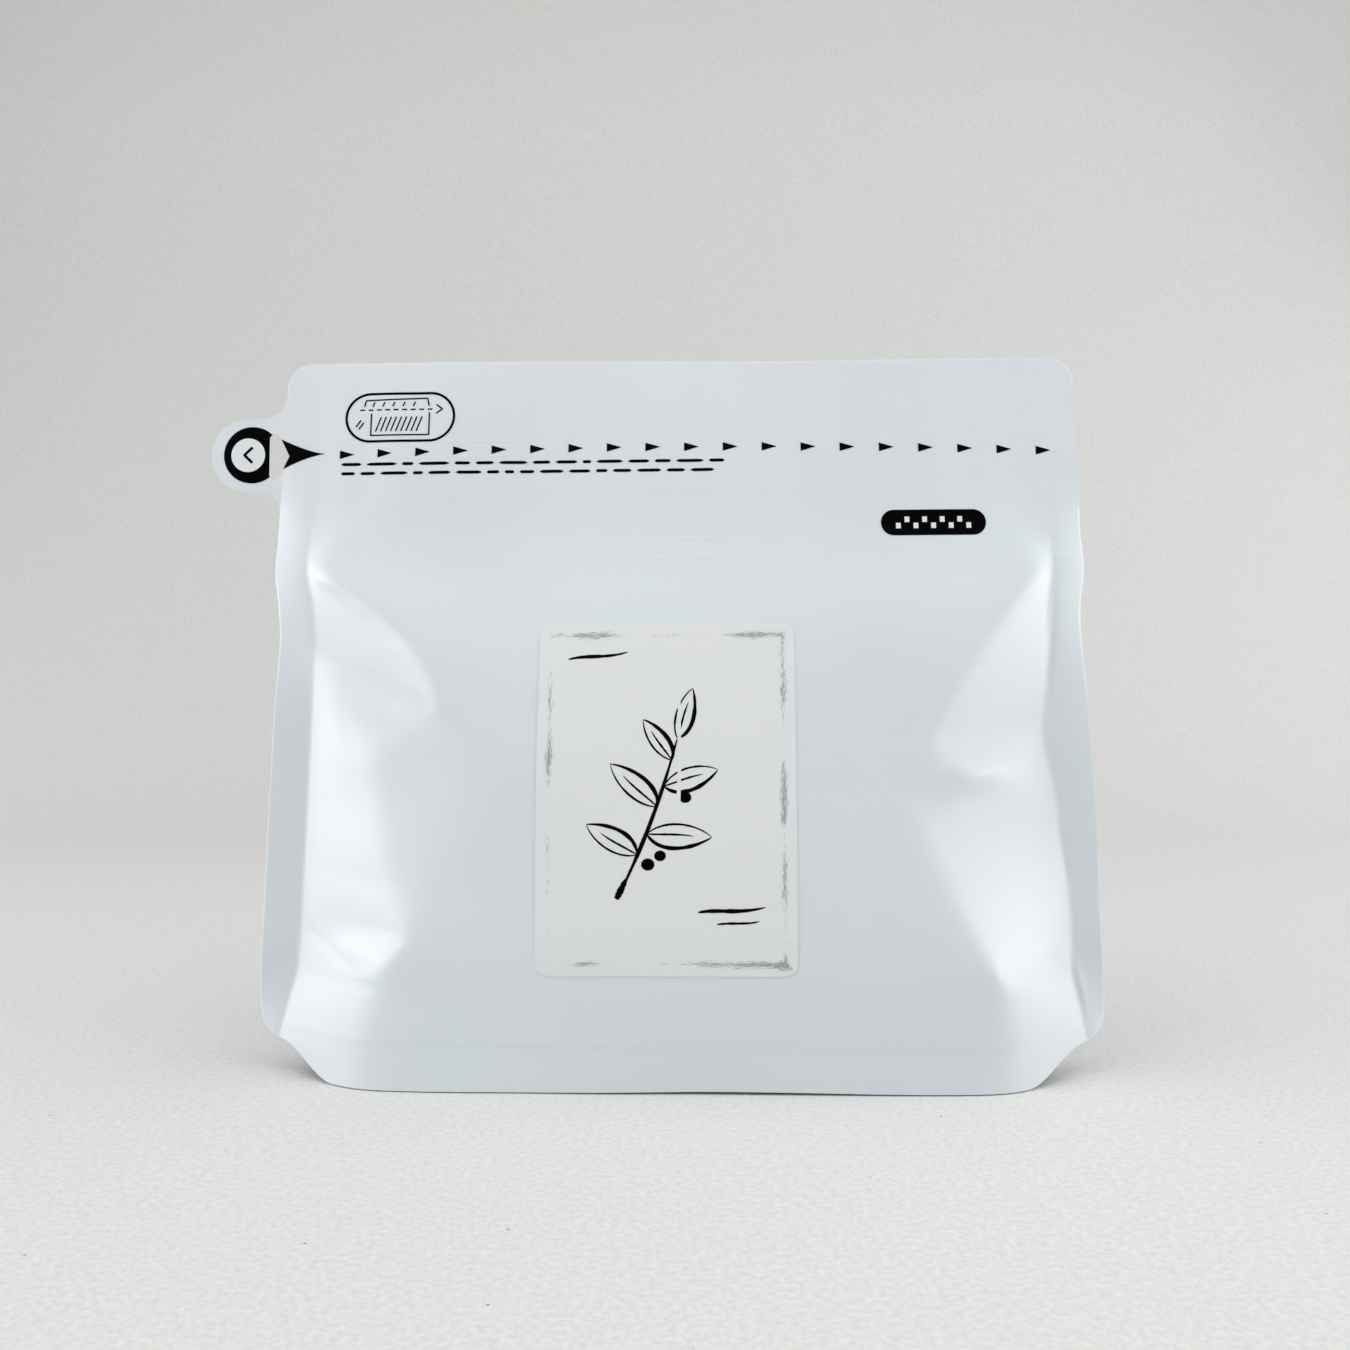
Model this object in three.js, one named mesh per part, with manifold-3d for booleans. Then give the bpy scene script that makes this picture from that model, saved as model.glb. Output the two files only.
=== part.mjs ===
// A filled coffee bag: a stand-up pouch of white laminate with sealed edges, a pull tab with a
// punched window at its left, a folded gusset under it, and a paper label on its front.
// Millimetres, +Z up, the front faces -Y. The origin is on the flat patch of the gusset that the
// bag rests on.
import * as THREE from 'three';
import Module from 'manifold-3d';
import { mergeVertices } from 'three/addons/utils/BufferGeometryUtils.js';

// The whole bag
const bagCentreX = -0.8;
const topHalfWidth = 79.7;
const earHalfWidth = 83.3;
const bagHeight = 141.4;
const topLean = 15.3; // how far the top edge lies behind the ears
const leanStart = 7; // height where the side seams start to lean back
const sealThickness = 0.5;
const topCornerRadius = 5;
const earCornerRadius = 5;
const earLift = 6.5; // the ears' lower edges hang this far above the floor
const liftStart = 67.5; // where the bottom edge starts to lift towards an ear

// Every list of pairs below holds heights, and at each height a length in millimetres or a share.
// The side seals' widths: narrow at the ears, and uneven where the filling pulls them in
const leftSealWidth = [[6.5, 3.6], [11, 5], [20, 7.4], [28, 7.6], [110, 7.2], [141, 5.4]];
const rightSealWidth = [
  [6.5, 3.4], [10, 4.2], [20, 6], [38, 5.8], [51, 6.5], [66, 8.9], [71, 8.1], [84, 6.7], [97, 6.7],
  [112, 5.7], [141, 5.4],
];

// How far the middles of the front and the back stand out from the side seams
const frontBelly = [
  [0, 12], [9, 12.6], [25, 13.9], [44, 13], [60, 10.8], [75, 8.4], [88, 6.2], [97, 3.9], [103, 2.7],
  [116, 1.9], [141.4, 0],
];
const backBelly = [
  [0, 16], [9, 16.8], [22, 19.6], [34, 20.5], [52, 18], [70, 13], [86, 8.2], [97, 4.6], [103, 3],
  [116, 1.9], [141.4, 0],
];

// Each side falls from the panel to the seal in two slopes. The steep one ends at the fold and the
// panel begins at its own edge, both in millimetres in from the bag's edge, and the share is how
// much of the depth the steep slope takes. The slant says how much higher a fold meets the seal.
const frontLeftSide = {
  fold: [
    [0, 20.2], [16.8, 23.2], [25.5, 27], [30, 32], [34, 28.5], [50, 24.6], [62.5, 20.3],
    [66.7, 23.8], [71, 32], [74, 34], [84.5, 27.9], [97, 12.2], [101, 10], [120, 13],
  ],
  panel: [
    [0, 22], [16.8, 24.3], [23, 26.2], [30, 32.5], [35.8, 32.5], [46.9, 40.3], [57, 44],
    [65.4, 40.1], [71.7, 34.4], [84.5, 28.3], [97, 12.6], [101, 10.6], [120, 14],
  ],
  share: [[0, 0.92], [30, 0.94], [45, 0.8], [58, 0.6], [65, 0.6], [71, 0.9], [120, 0.95]],
  slant: { at: 79, spread: 12, rise: 11 },
};
const frontRightSide = {
  fold: [
    [0, 18.2], [19, 20.2], [30.8, 23.6], [46, 27.6], [51, 30], [54.2, 36], [59.5, 23], [64.1, 31.4],
    [73.1, 27], [80.4, 22], [94.8, 11.6], [98, 9.6], [120, 12],
  ],
  panel: [
    [0, 19], [24.4, 22.9], [38.1, 30.3], [46.3, 34], [54.2, 36.7], [60, 32], [64.1, 32],
    [73.1, 27.5], [80.4, 22.5], [94.8, 12], [98, 10], [120, 13],
  ],
  share: [[0, 0.92], [24, 0.92], [47, 0.84], [54, 0.95], [59, 0.72], [64, 0.95], [120, 0.95]],
  slant: { at: 60, spread: 8, rise: 1.5 },
};
const backLeftSide = {
  fold: [
    [0, 21], [14, 23], [26, 28], [36, 36], [42, 30], [53, 29], [66, 38], [72, 31], [84, 25],
    [94, 19], [103, 12], [116, 12],
  ],
  panel: [[0, 23], [26, 33], [36, 40], [53, 40], [66, 43], [84, 30], [103, 14], [116, 13]],
  share: [[0, 0.86]],
  slant: { at: 68, spread: 12, rise: 7 },
};
const backRightSide = {
  fold: [
    [0, 21], [16, 24], [28, 34], [34, 28], [47, 31], [60, 40], [67, 32], [78, 27], [88, 21],
    [98, 13], [116, 12],
  ],
  panel: [[0, 23], [28, 37], [47, 41], [60, 44], [78, 33], [98, 16], [116, 13]],
  share: [[0, 0.86]],
  slant: { at: 60, spread: 12, rise: 8 },
};
const foldSoftness = 3; // how wide the round corners of the slopes are

// The pull tab at the left seal, and the window punched where it meets the bag
const tab = { centreX: -88.2, centreZ: 123.3, radius: 7.6, fillet: 4.5 };
const tabWindow = { top: 127.6, bottom: 118.3, left: -83.8, right: -81.6, tip: -79.6, bevel: 0.7 };

// The label
const label = { centreX: -2.1, low: 22.7, high: 88.4, width: 49, radius: 2.8 };
const labelGap = 0.2;
const labelThickness = 0.3;

// The hollow under the gusset
const gusset = {
  grooveHeight: 6, // the grooves between the bottom seals and the sagging middle
  flatShare: 0.6, // of the depth lies flat on the floor in the middle
  flatHalfLength: 48,
  archHalfLength: 68, // from here out the whole gusset is folded up
  archRise: 3,
  closesAt: 76.5,
};

const smooth = (low, high, value) => {
  const t = Math.min(1, Math.max(0, (value - low) / (high - low)));
  return t * t * (3 - 2 * t);
};

const hump = (value, centre, spread) => Math.exp(-(((value - centre) / spread) ** 2));

// Half the bag's width: widest at the ears, with a swell beside the zipper and a waist under it
function halfWidth(z) {
  const taper = (earHalfWidth - topHalfWidth) * Math.max(0, 1 - (z - 14) / 72) ** 1.2;
  const swell = 1.1 * hump(z, 99, 6) + 0.5 * hump(z, 111, 10);
  return topHalfWidth + Math.min(taper, earHalfWidth - topHalfWidth) + swell;
}

// Where the side seams and the flat top lie, front to back
function seamY(z) {
  const t = Math.max(0, (z - leanStart) / (bagHeight - leanStart));
  return topLean * t * t;
}

// The second number of the pairs at a height, in a straight line between two pairs
function readAt(height, pairs) {
  const next = pairs.findIndex(([z]) => z > height);
  if (next <= 0) {
    return next === 0 ? pairs[0][1] : pairs[pairs.length - 1][1];
  }
  const [lowZ, low] = pairs[next - 1];
  const [highZ, high] = pairs[next];
  return low + ((high - low) * (height - lowZ)) / (highZ - lowZ);
}

// The same, averaged over a little height so that the corners are round
function softRead(height, pairs, blur) {
  const steps = [-1, -0.5, 0, 0.5, 1];
  return steps.reduce((sum, step) => sum + readAt(height + step * blur, pairs), 0) / steps.length;
}

// The distance up to a ramp's end and level beyond it, with a round corner
function softRamp(distance, end) {
  const start = (end - Math.hypot(end, foldSoftness)) / 2;
  const here = (distance + end - Math.hypot(distance - end, foldSoftness)) / 2;
  return ((here - start) * end) / (end - start);
}

// The share of the belly's depth at a distance in from the bag's edge
function sideRise(fromEdge, seal, z, side) {
  const { at, spread, rise } = side.slant;
  const inner = Math.max(0, 1 - (fromEdge - seal) / (readAt(z, side.fold) - seal));
  const height = z - rise * hump(z, at, spread) * inner;
  const fold = softRead(height, side.fold, 1) - seal;
  const panel = Math.max(fold + 0.3, softRead(height, side.panel, 1) - seal);
  const share = readAt(height, side.share);
  const steep = share / fold;
  const gentle = (1 - share) / (panel - fold);
  const distance = fromEdge - seal;
  return (steep - gentle) * softRamp(distance, fold) + gentle * softRamp(distance, panel);
}

function panelDepth(x, z, belly, leftSide, rightSide) {
  const isLeft = x < bagCentreX;
  const seal = softRead(z, isLeft ? leftSealWidth : rightSealWidth, 1.5);
  const fromEdge = halfWidth(z) - Math.abs(x - bagCentreX);
  if (fromEdge <= seal) {
    return 0;
  }
  return softRead(z, belly, 3) * sideRise(fromEdge, seal, z, isLeft ? leftSide : rightSide);
}

const frontY = (x, z) =>
  seamY(z) - sealThickness / 2 - panelDepth(x, z, frontBelly, frontLeftSide, frontRightSide);

const backY = (x, z) =>
  seamY(z) + sealThickness / 2 + panelDepth(x, z, backBelly, backLeftSide, backRightSide);

// The front and back edges of the bottom: on the floor in the middle, lifting to the ears,
// whose outer corners are round
function bottomEdgeZ(x) {
  const arcStart = earHalfWidth - earCornerRadius;
  const lift = earLift * smooth(liftStart, arcStart + 1, Math.abs(x));
  const past = Math.min(earCornerRadius, Math.max(0, Math.abs(x) - arcStart));
  return lift + earCornerRadius - Math.sqrt(earCornerRadius ** 2 - past ** 2);
}

// The top edge, with its two round corners
function topEdgeZ(x) {
  const arcStart = topHalfWidth - topCornerRadius;
  const past = Math.min(topCornerRadius, Math.max(0, Math.abs(x) - arcStart));
  return bagHeight - topCornerRadius + Math.sqrt(topCornerRadius ** 2 - past ** 2);
}

// Evenly spaced numbers from start to end, without the end itself
function stretch(start, end, count) {
  return Array.from({ length: count }, (_, i) => start + ((end - start) * i) / count);
}

// Numbers from start to end that crowd together towards the start, without the end itself
function crowded(start, end, count) {
  return Array.from({ length: count }, (_, i) => {
    const t = 1 - Math.cos((Math.PI / 2) * (i / count));
    return start + (end - start) * t;
  });
}

// Places across the bag as shares of its half width: close together over the round corners and
// the seals, then over the facets, and wide apart in the middle
function acrossShares() {
  const arc = 1 - earCornerRadius / earHalfWidth;
  const seal = 1 - readAt(bagHeight / 2, leftSealWidth) / topHalfWidth;
  const half = [
    ...crowded(1, arc, 4),
    ...stretch(arc, seal, 1),
    ...stretch(seal, 0.46, 11),
    ...stretch(0.46, 0, 3),
  ];
  return [...half.map((s) => -s), 0, ...half.reverse()];
}

// Heights of the rows at the bag's side: the band, the body, then rows that follow the tab's
// outline, then the top
function sideHeights() {
  const filletTop = tab.radius + tab.fillet;
  const tabOffsets = [];
  const filletSteps = 3;
  const roundSteps = 8;
  for (let i = 0; i < filletSteps; i += 1) {
    const angle = (Math.PI / 2) * (i / filletSteps);
    tabOffsets.push(-filletTop + tab.fillet * Math.sin(angle));
  }
  for (let i = 0; i <= roundSteps; i += 1) {
    tabOffsets.push(-tab.radius * Math.cos((Math.PI * i) / roundSteps));
  }
  for (let i = filletSteps - 1; i >= 0; i -= 1) {
    const angle = (Math.PI / 2) * (i / filletSteps);
    tabOffsets.push(filletTop - tab.fillet * Math.sin(angle));
  }
  const foot = earLift + earCornerRadius;
  return [
    ...stretch(foot, foot + 6, 2),
    ...stretch(foot + 6, 99, 26),
    ...stretch(99, tab.centreZ - filletTop, 2),
    ...tabOffsets.map((offset) => tab.centreZ + offset),
    bagHeight - topCornerRadius,
  ];
}

// The outline of the tab: the x of its outer edge at a height
function tabEdgeX(z) {
  const side = bagCentreX - halfWidth(z);
  const offset = Math.abs(z - tab.centreZ);
  if (offset <= tab.radius) {
    return tab.centreX - Math.sqrt(Math.max(0, tab.radius ** 2 - offset ** 2));
  }
  const reach = tab.radius + tab.fillet - offset;
  return reach > 1e-6 ? side - tab.fillet + Math.sqrt(tab.fillet ** 2 - reach ** 2) : side;
}

// A closed mesh collected from grids of points; points that fall together are merged at the end
class Skin {
  constructor() {
    this.positions = [];
  }

  triangle(a, b, c) {
    this.positions.push(...a, ...b, ...c);
  }

  // Both triangles of a four-sided patch, in the order that faces outwards
  quad(a, b, c, d) {
    this.triangle(a, b, c);
    this.triangle(a, c, d);
  }

  // A sheet of patches over rows of points
  sheet(rows, flip) {
    for (let j = 0; j + 1 < rows.length; j += 1) {
      for (let i = 0; i + 1 < rows[j].length; i += 1) {
        const corners = [rows[j][i], rows[j][i + 1], rows[j + 1][i + 1], rows[j + 1][i]];
        if (flip) {
          corners.reverse();
        }
        this.quad(...corners);
      }
    }
  }

  geometry() {
    const loose = new THREE.BufferGeometry();
    loose.setAttribute('position', new THREE.Float32BufferAttribute(this.positions, 3));
    const merged = mergeVertices(loose, 1e-4);
    const index = merged.index.array;
    const kept = [];
    for (let i = 0; i < index.length; i += 3) {
      const [a, b, c] = index.slice(i, i + 3);
      if (a !== b && b !== c && a !== c) {
        kept.push(a, b, c);
      }
    }
    merged.setIndex(kept);
    return merged;
  }
}

// The side rows as shares of the height between the bottom and top edges
function rowShares() {
  const foot = earLift + earCornerRadius;
  const head = bagHeight - topCornerRadius;
  return sideHeights().map((z) => (z - foot) / (head - foot));
}

// The height of a row at a place across the bag. At the sides the rows keep to the tab's
// outline; towards the middle they open out to the bottom and top edges.
function rowHeight(share, across) {
  const low = bottomEdgeZ(across * earHalfWidth);
  const high = topEdgeZ(across * topHalfWidth);
  return low + (high - low) * share;
}

function panelRows(surfaceY) {
  const across = acrossShares();
  return rowShares().map((share) =>
    across.map((s) => {
      const z = rowHeight(share, s);
      const x = bagCentreX + s * halfWidth(z);
      return [x, surfaceY(x, z), z];
    }),
  );
}

// The underside from the front edge to the back one: the bottom seals stand as skirts, and
// between them the gusset sags to the floor; towards the ears it folds up into an arch
function undersideRow(front, back) {
  const [x, frontEdge, low] = front;
  const aside = Math.abs(x - bagCentreX);
  const backEdge = back[1];
  const gap = backEdge - frontEdge;
  const steps = 10;
  if (aside > gusset.closesAt + earCornerRadius) {
    return Array.from({ length: steps + 5 }, (_, k) => (k < steps / 2 + 2 ? front : back));
  }
  const wall = Math.min(sealThickness, gap / 5);
  const open = 1 - smooth(gusset.archHalfLength, gusset.closesAt, aside);
  const arch = smooth(gusset.flatHalfLength, gusset.archHalfLength, aside);
  const middle = (frontEdge + backEdge) / 2;
  const reach = gap / 2 - wall;
  const points = [front, [x, frontEdge + wall, low]];
  for (let k = 0; k <= steps; k += 1) {
    const q = -0.97 + (1.94 * k) / steps;
    const sag = gusset.grooveHeight * smooth(gusset.flatShare, 1, Math.abs(q));
    const fold = gusset.archRise * (1 - q * q) + gusset.grooveHeight / 2;
    const height = open * (sag * (1 - arch) + fold * arch);
    points.push([x, middle + q * reach, low + height]);
  }
  points.push([x, backEdge - wall, low], back);
  return points;
}

// The tab's rows run out from the points of the left side to the tab's edge
function tabRows(sidePoints, steps) {
  return sidePoints.map(([side, y, z]) => {
    const edge = Math.min(side, tabEdgeX(z));
    return Array.from({ length: steps + 1 }, (_, k) => {
      const x = k === steps ? side : edge + ((side - edge) * k) / steps;
      return [x, y, z];
    });
  });
}

function bagSkin() {
  const skin = new Skin();
  const front = panelRows(frontY);
  const back = panelRows(backY);
  skin.sheet(front, false);
  skin.sheet(back, true);

  const last = front.length - 1;
  const right = front[0].length - 1;
  skin.sheet([front[last], back[last]], false);
  skin.sheet([front.map((row) => row[right]), back.map((row) => row[right])], true);
  const underside = front[0].map((point, i) => undersideRow(point, back[0][i]));
  skin.sheet(underside, false);

  // The left side's edge follows the tab's outline, so the tab is there where that stands out
  const steps = 4;
  const tabFront = tabRows(front.map((row) => row[0]), steps);
  const tabBack = tabRows(back.map((row) => row[0]), steps);
  skin.sheet(tabFront, false);
  skin.sheet(tabBack, true);
  skin.sheet([tabFront.map((row) => row[0]), tabBack.map((row) => row[0])], false);
  return skin.geometry();
}

// The punch for the window: a straight side next to the tab's disc and an arrow side that
// points along the tear line
function windowPunch() {
  const { top, bottom, left, right, tip, bevel } = tabWindow;
  const middle = (top + bottom) / 2;
  const outline = new THREE.Shape();
  outline.moveTo(left, bottom + bevel);
  outline.lineTo(left + bevel, bottom);
  outline.lineTo(right - bevel, bottom);
  outline.lineTo(right, bottom + bevel);
  outline.lineTo(tip, middle);
  outline.lineTo(right, top - bevel);
  outline.lineTo(right - bevel, top);
  outline.lineTo(left + bevel, top);
  outline.lineTo(left, top - bevel);
  outline.closePath();
  const depth = 6;
  const punch = new THREE.ExtrudeGeometry(outline, { depth, bevelEnabled: false });
  punch.rotateX(Math.PI / 2);
  punch.translate(0, seamY(middle) + depth / 2, 0);
  return punch;
}

// The label: a thin sheet that follows the front, with round corners
function labelGeometry() {
  const half = label.width / 2;
  const arc = 1 - label.radius / half;
  const halfShares = [...crowded(1, arc, 3), ...stretch(arc, 0, 5)];
  const across = [...halfShares.map((s) => -s), 0, ...halfShares.reverse()];
  const rowCount = 8;
  const rows = (offset) =>
    Array.from({ length: rowCount + 1 }, (_, j) =>
      across.map((s) => {
        const past = Math.max(0, Math.abs(s) * half - (half - label.radius));
        const inset = label.radius - Math.sqrt(Math.max(0, label.radius ** 2 - past ** 2));
        const low = label.low + inset;
        const high = label.high - inset;
        const z = low + ((high - low) * j) / rowCount;
        const x = label.centreX + s * half;
        return [x, frontY(x, z) - offset, z];
      }),
    );
  const front = rows(labelGap + labelThickness);
  const back = rows(labelGap);
  const skin = new Skin();
  const right = across.length - 1;
  skin.sheet(front, false);
  skin.sheet(back, true);
  skin.sheet([front[rowCount], back[rowCount]], false);
  skin.sheet([front[0], back[0]], true);
  skin.sheet([front.map((row) => row[right]), back.map((row) => row[right])], true);
  skin.sheet([front.map((row) => row[0]), back.map((row) => row[0])], false);
  return skin.geometry();
}

const wasm = await Module();
wasm.setup();

function toSolid(geometry) {
  const bare = geometry.clone();
  bare.deleteAttribute('normal');
  bare.deleteAttribute('uv');
  const merged = mergeVertices(bare, 1e-4);
  return new wasm.Manifold(
    new wasm.Mesh({
      numProp: 3,
      vertProperties: new Float32Array(merged.attributes.position.array),
      triVerts: new Uint32Array(merged.index.array),
    }),
  );
}

function toGeometry(solid) {
  const mesh = solid.getMesh();
  const geometry = new THREE.BufferGeometry();
  geometry.setAttribute('position', new THREE.BufferAttribute(mesh.vertProperties, 3));
  geometry.setIndex(new THREE.BufferAttribute(mesh.triVerts, 1));
  geometry.computeVertexNormals();
  return geometry;
}

const laminate = new THREE.MeshStandardMaterial({
  color: 0xe3e7ea,
  roughness: 0.42,
  metalness: 0,
  name: 'laminate',
});
const paper = new THREE.MeshStandardMaterial({
  color: 0xeceeec,
  roughness: 0.6,
  metalness: 0,
  name: 'paper',
});

const bagGeometry = toGeometry(toSolid(bagSkin()).subtract(toSolid(windowPunch())));

const pouch = new THREE.Mesh(bagGeometry, laminate);
pouch.name = 'pouch';
const labelMesh = new THREE.Mesh(labelGeometry(), paper);
labelMesh.name = 'label';

const coffeeBag = new THREE.Group();
coffeeBag.name = 'coffee_bag';
coffeeBag.add(pouch, labelMesh);

export default coffeeBag;
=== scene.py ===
# A filled coffee bag: a stand-up pouch of matte white film with a pull tab and a tear line
# printed across it, pleated sides, a gusset under it, and a paper label on its front.
import math
import bmesh
import bpy
import numpy as np
from mathutils import Matrix, Vector


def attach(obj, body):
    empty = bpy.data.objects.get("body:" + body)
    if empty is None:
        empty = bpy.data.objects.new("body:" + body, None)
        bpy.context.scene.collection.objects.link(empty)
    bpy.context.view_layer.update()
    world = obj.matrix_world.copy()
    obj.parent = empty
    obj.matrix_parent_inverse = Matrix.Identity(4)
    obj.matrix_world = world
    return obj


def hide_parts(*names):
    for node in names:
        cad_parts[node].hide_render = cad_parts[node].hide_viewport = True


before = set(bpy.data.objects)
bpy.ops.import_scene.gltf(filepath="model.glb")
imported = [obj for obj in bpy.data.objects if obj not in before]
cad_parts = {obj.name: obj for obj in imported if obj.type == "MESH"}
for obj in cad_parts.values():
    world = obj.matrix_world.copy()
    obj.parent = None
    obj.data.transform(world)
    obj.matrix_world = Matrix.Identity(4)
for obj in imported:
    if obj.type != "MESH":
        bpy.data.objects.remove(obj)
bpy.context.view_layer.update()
mm = 0.001  # the shapes are worked out in millimetres and put into Blender in metres


# Small helpers for numbers

def smoothStep(low, high, value):
    # 0 below low, 1 above high, and an S-shaped rise between them
    t = np.clip((value - low) / (high - low), 0, 1)
    return t * t * (3 - 2 * t)


def crowded(count):
    # numbers from -1 to 1 that lie closer together towards both ends: 1.45 q less 0.45 q cubed
    q = np.linspace(-1, 1, count)
    return 1.45 * q - 0.45 * q ** 3


def hump(value, centre, spread):
    # a bell of height 1 at the centre: e to minus the square of the distance over the spread
    return np.exp(-(((value - centre) / spread) ** 2))


def waves(x, z, seed, count, shortest, longest):
    # a sum of sine waves of random direction and length, about 1 high: gentle unevenness
    draw = np.random.default_rng(seed)
    total = np.zeros(np.broadcast(x, z).shape)
    for _ in range(count):
        length = draw.uniform(shortest, longest)
        turn, phase = draw.uniform(0, math.pi), draw.uniform(0, 2 * math.pi)
        total += np.sin((x * math.cos(turn) + z * math.sin(turn)) * 2 * math.pi / length + phase)
    return total / math.sqrt(count)


# Meshes from arrays

def gridQuads(indices, flip=False):
    # the four corners of each cell of a grid of vertex numbers
    quads = np.stack([indices[:-1, :-1], indices[:-1, 1:], indices[1:, 1:], indices[1:, :-1]], -1)
    quads = quads.reshape(-1, 4)
    return quads[:, ::-1] if flip else quads


def makePiece(name, points, quads, material, sharpAngle=40, mergeAt=None):
    # points are millimetres, one row each; quads are rows of four vertex numbers
    mesh = bpy.data.meshes.new(name)
    mesh.vertices.add(len(points))
    mesh.vertices.foreach_set("co", (points * mm).astype(np.float32).ravel())
    mesh.loops.add(quads.size)
    mesh.loops.foreach_set("vertex_index", quads.astype(np.int32).ravel())
    mesh.polygons.add(len(quads))
    mesh.polygons.foreach_set("loop_start", np.arange(0, quads.size, 4, dtype=np.int32))
    mesh.update(calc_edges=True)
    if mergeAt is not None:
        shell = bmesh.new()
        shell.from_mesh(mesh)
        bmesh.ops.remove_doubles(shell, verts=shell.verts, dist=mergeAt * mm)
        bmesh.ops.dissolve_degenerate(shell, edges=shell.edges, dist=mergeAt * mm)
        shell.to_mesh(mesh)
        shell.free()
    mesh.validate()
    mesh.shade_smooth()
    mesh.set_sharp_from_angle(angle=math.radians(sharpAngle))
    piece = bpy.data.objects.new(name, mesh)
    bpy.context.scene.collection.objects.link(piece)
    mesh.materials.append(material)
    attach(piece, "root")
    return piece


# Node materials

def linearColour(hexText):
    # sRGB hex to the linear values that shaders take
    srgb = np.array([int(hexText[i:i + 2], 16) for i in (1, 3, 5)]) / 255
    linear = np.where(srgb <= 0.04045, srgb / 12.92, ((srgb + 0.055) / 1.055) ** 2.4)
    return (*linear.tolist(), 1.0)


def addNode(tree, kind, settings=None, links=None):
    # adds a node; settings are its own properties or its inputs' values, links feed its inputs
    node = tree.nodes.new("ShaderNode" + kind)
    for key, value in (settings or {}).items():
        if isinstance(key, int) or key in node.inputs:
            node.inputs[key].default_value = value
        else:
            setattr(node, key, value)
    for key, source in (links or {}).items():
        tree.links.new(source, node.inputs[key])
    return node


def newMaterial(name):
    material = bpy.data.materials.new(name)
    material.use_nodes = True
    material.node_tree.nodes.clear()
    return material, material.node_tree


# Matt-varnished laminated film: white print behind a clear polyester skin, with foil and
# polyethylene under it. It reads as a cool white with a broad, soft sheen and a fine orange peel.
mattFilm = {
    "colour": "#DEE5E8",
    "shade": "#DBE0E6",  # painted shade: the lilac grey that the film takes where it lies in shade, spread at random by a slow noise
    "roughness": 0.4,
    "ior": 1.5,
    "mottleSize": 60,  # mm between the darker places
    "mottleLow": 0.35, "mottleHigh": 0.62,  # noise below the first is the lighter colour alone
    "peelSize": 0.5,  # mm between the bumps of the varnish
    "peelStrength": 0.05, "peelDepth": 0.05,
    "crinkleSize": 9,  # mm between the faint dents of the filling
    "crinkleStrength": 0.12, "crinkleDepth": 0.6,
    # lines pressed through from inside, as height, width and rise in mm: the zip and the foot of
    # its flange, the upper edge of its tape, and both edges of the tear tape
    "lines": [(101.4, 0.5, 0.035), (105.2, 0.5, 0.03), (113.6, 0.35, -0.04), (122.3, 0.3, 0.045),
              (125.4, 0.3, 0.04)],
    "linePatch": 30,  # mm between the places where the lines show well
    "patchLow": 0.4, "patchHigh": 0.62,  # noise below the first leaves them faint
    "faint": 0.1,
}


def mattFilmMaterial():
    material, tree = newMaterial("matt_laminated_film")
    place = addNode(tree, "TexCoord").outputs["Object"]
    mottle = addNode(tree, "TexNoise", {"Scale": 1 / (mattFilm["mottleSize"] * mm), "Detail": 1.0},
                     {"Vector": place})
    uneven = addNode(tree, "MapRange", {"From Min": mattFilm["mottleLow"],
                                        "From Max": mattFilm["mottleHigh"]},
                     {0: mottle.outputs["Fac"]})
    # painted shade: the film's colour drifts at random from the cool white towards the lilac tint
    # of its shaded parts
    colour = addNode(tree, "Mix", {"data_type": "RGBA", 6: linearColour(mattFilm["colour"]),
                                   7: linearColour(mattFilm["shade"])},
                     {0: uneven.outputs[0]})
    peel = addNode(tree, "TexNoise", {"Scale": 1 / (mattFilm["peelSize"] * mm), "Detail": 2.0},
                   {"Vector": place})
    crinkle = addNode(tree, "TexNoise",
                      {"Scale": 1 / (mattFilm["crinkleSize"] * mm), "Detail": 1.0},
                      {"Vector": place})
    coarse = addNode(tree, "Bump", {"Strength": mattFilm["crinkleStrength"],
                                    "Distance": mattFilm["crinkleDepth"] * mm},
                     {"Height": crinkle.outputs["Fac"]})
    height = addNode(tree, "SeparateXYZ", {}, {0: place}).outputs[2]
    relief = None
    for z, width, rise in mattFilm["lines"]:
        # a ridge with straight sides: its rise less the distance from its middle, down to nothing
        offset = addNode(tree, "Math", {"operation": "SUBTRACT", 1: z * mm}, {0: height})
        aside = addNode(tree, "Math", {"operation": "ABSOLUTE"}, {0: offset.outputs[0]})
        ridge = addNode(tree, "MapRange", {"From Min": 0.0, "From Max": width * mm, "To Min": rise,
                                           "To Max": 0.0}, {0: aside.outputs[0]}).outputs[0]
        if relief is not None:
            ridge = addNode(tree, "Math", {"operation": "ADD"}, {0: relief, 1: ridge}).outputs[0]
        relief = ridge
    patch = addNode(tree, "TexNoise", {"Scale": 1 / (mattFilm["linePatch"] * mm), "Detail": 2.0},
                    {"Vector": place})
    clear = addNode(tree, "MapRange",
                    {"From Min": mattFilm["patchLow"], "From Max": mattFilm["patchHigh"],
                     "To Min": mattFilm["faint"], "To Max": 1.0},
                    {0: patch.outputs["Fac"]})
    relief = addNode(tree, "Math", {"operation": "MULTIPLY"},
                     {0: relief, 1: clear.outputs[0]}).outputs[0]
    pressed = addNode(tree, "Bump", {"Strength": 1.0, "Distance": mm},
                      {"Height": relief, "Normal": coarse.outputs["Normal"]})
    fine = addNode(tree, "Bump", {"Strength": mattFilm["peelStrength"],
                                  "Distance": mattFilm["peelDepth"] * mm},
                   {"Height": peel.outputs["Fac"], "Normal": pressed.outputs["Normal"]})
    shader = addNode(tree, "BsdfPrincipled",
                     {"Roughness": mattFilm["roughness"], "IOR": mattFilm["ior"]},
                     {"Base Color": colour.outputs[2], "Normal": fine.outputs["Normal"]})
    addNode(tree, "OutputMaterial", {}, {"Surface": shader.outputs["BSDF"]})
    return material


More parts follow.
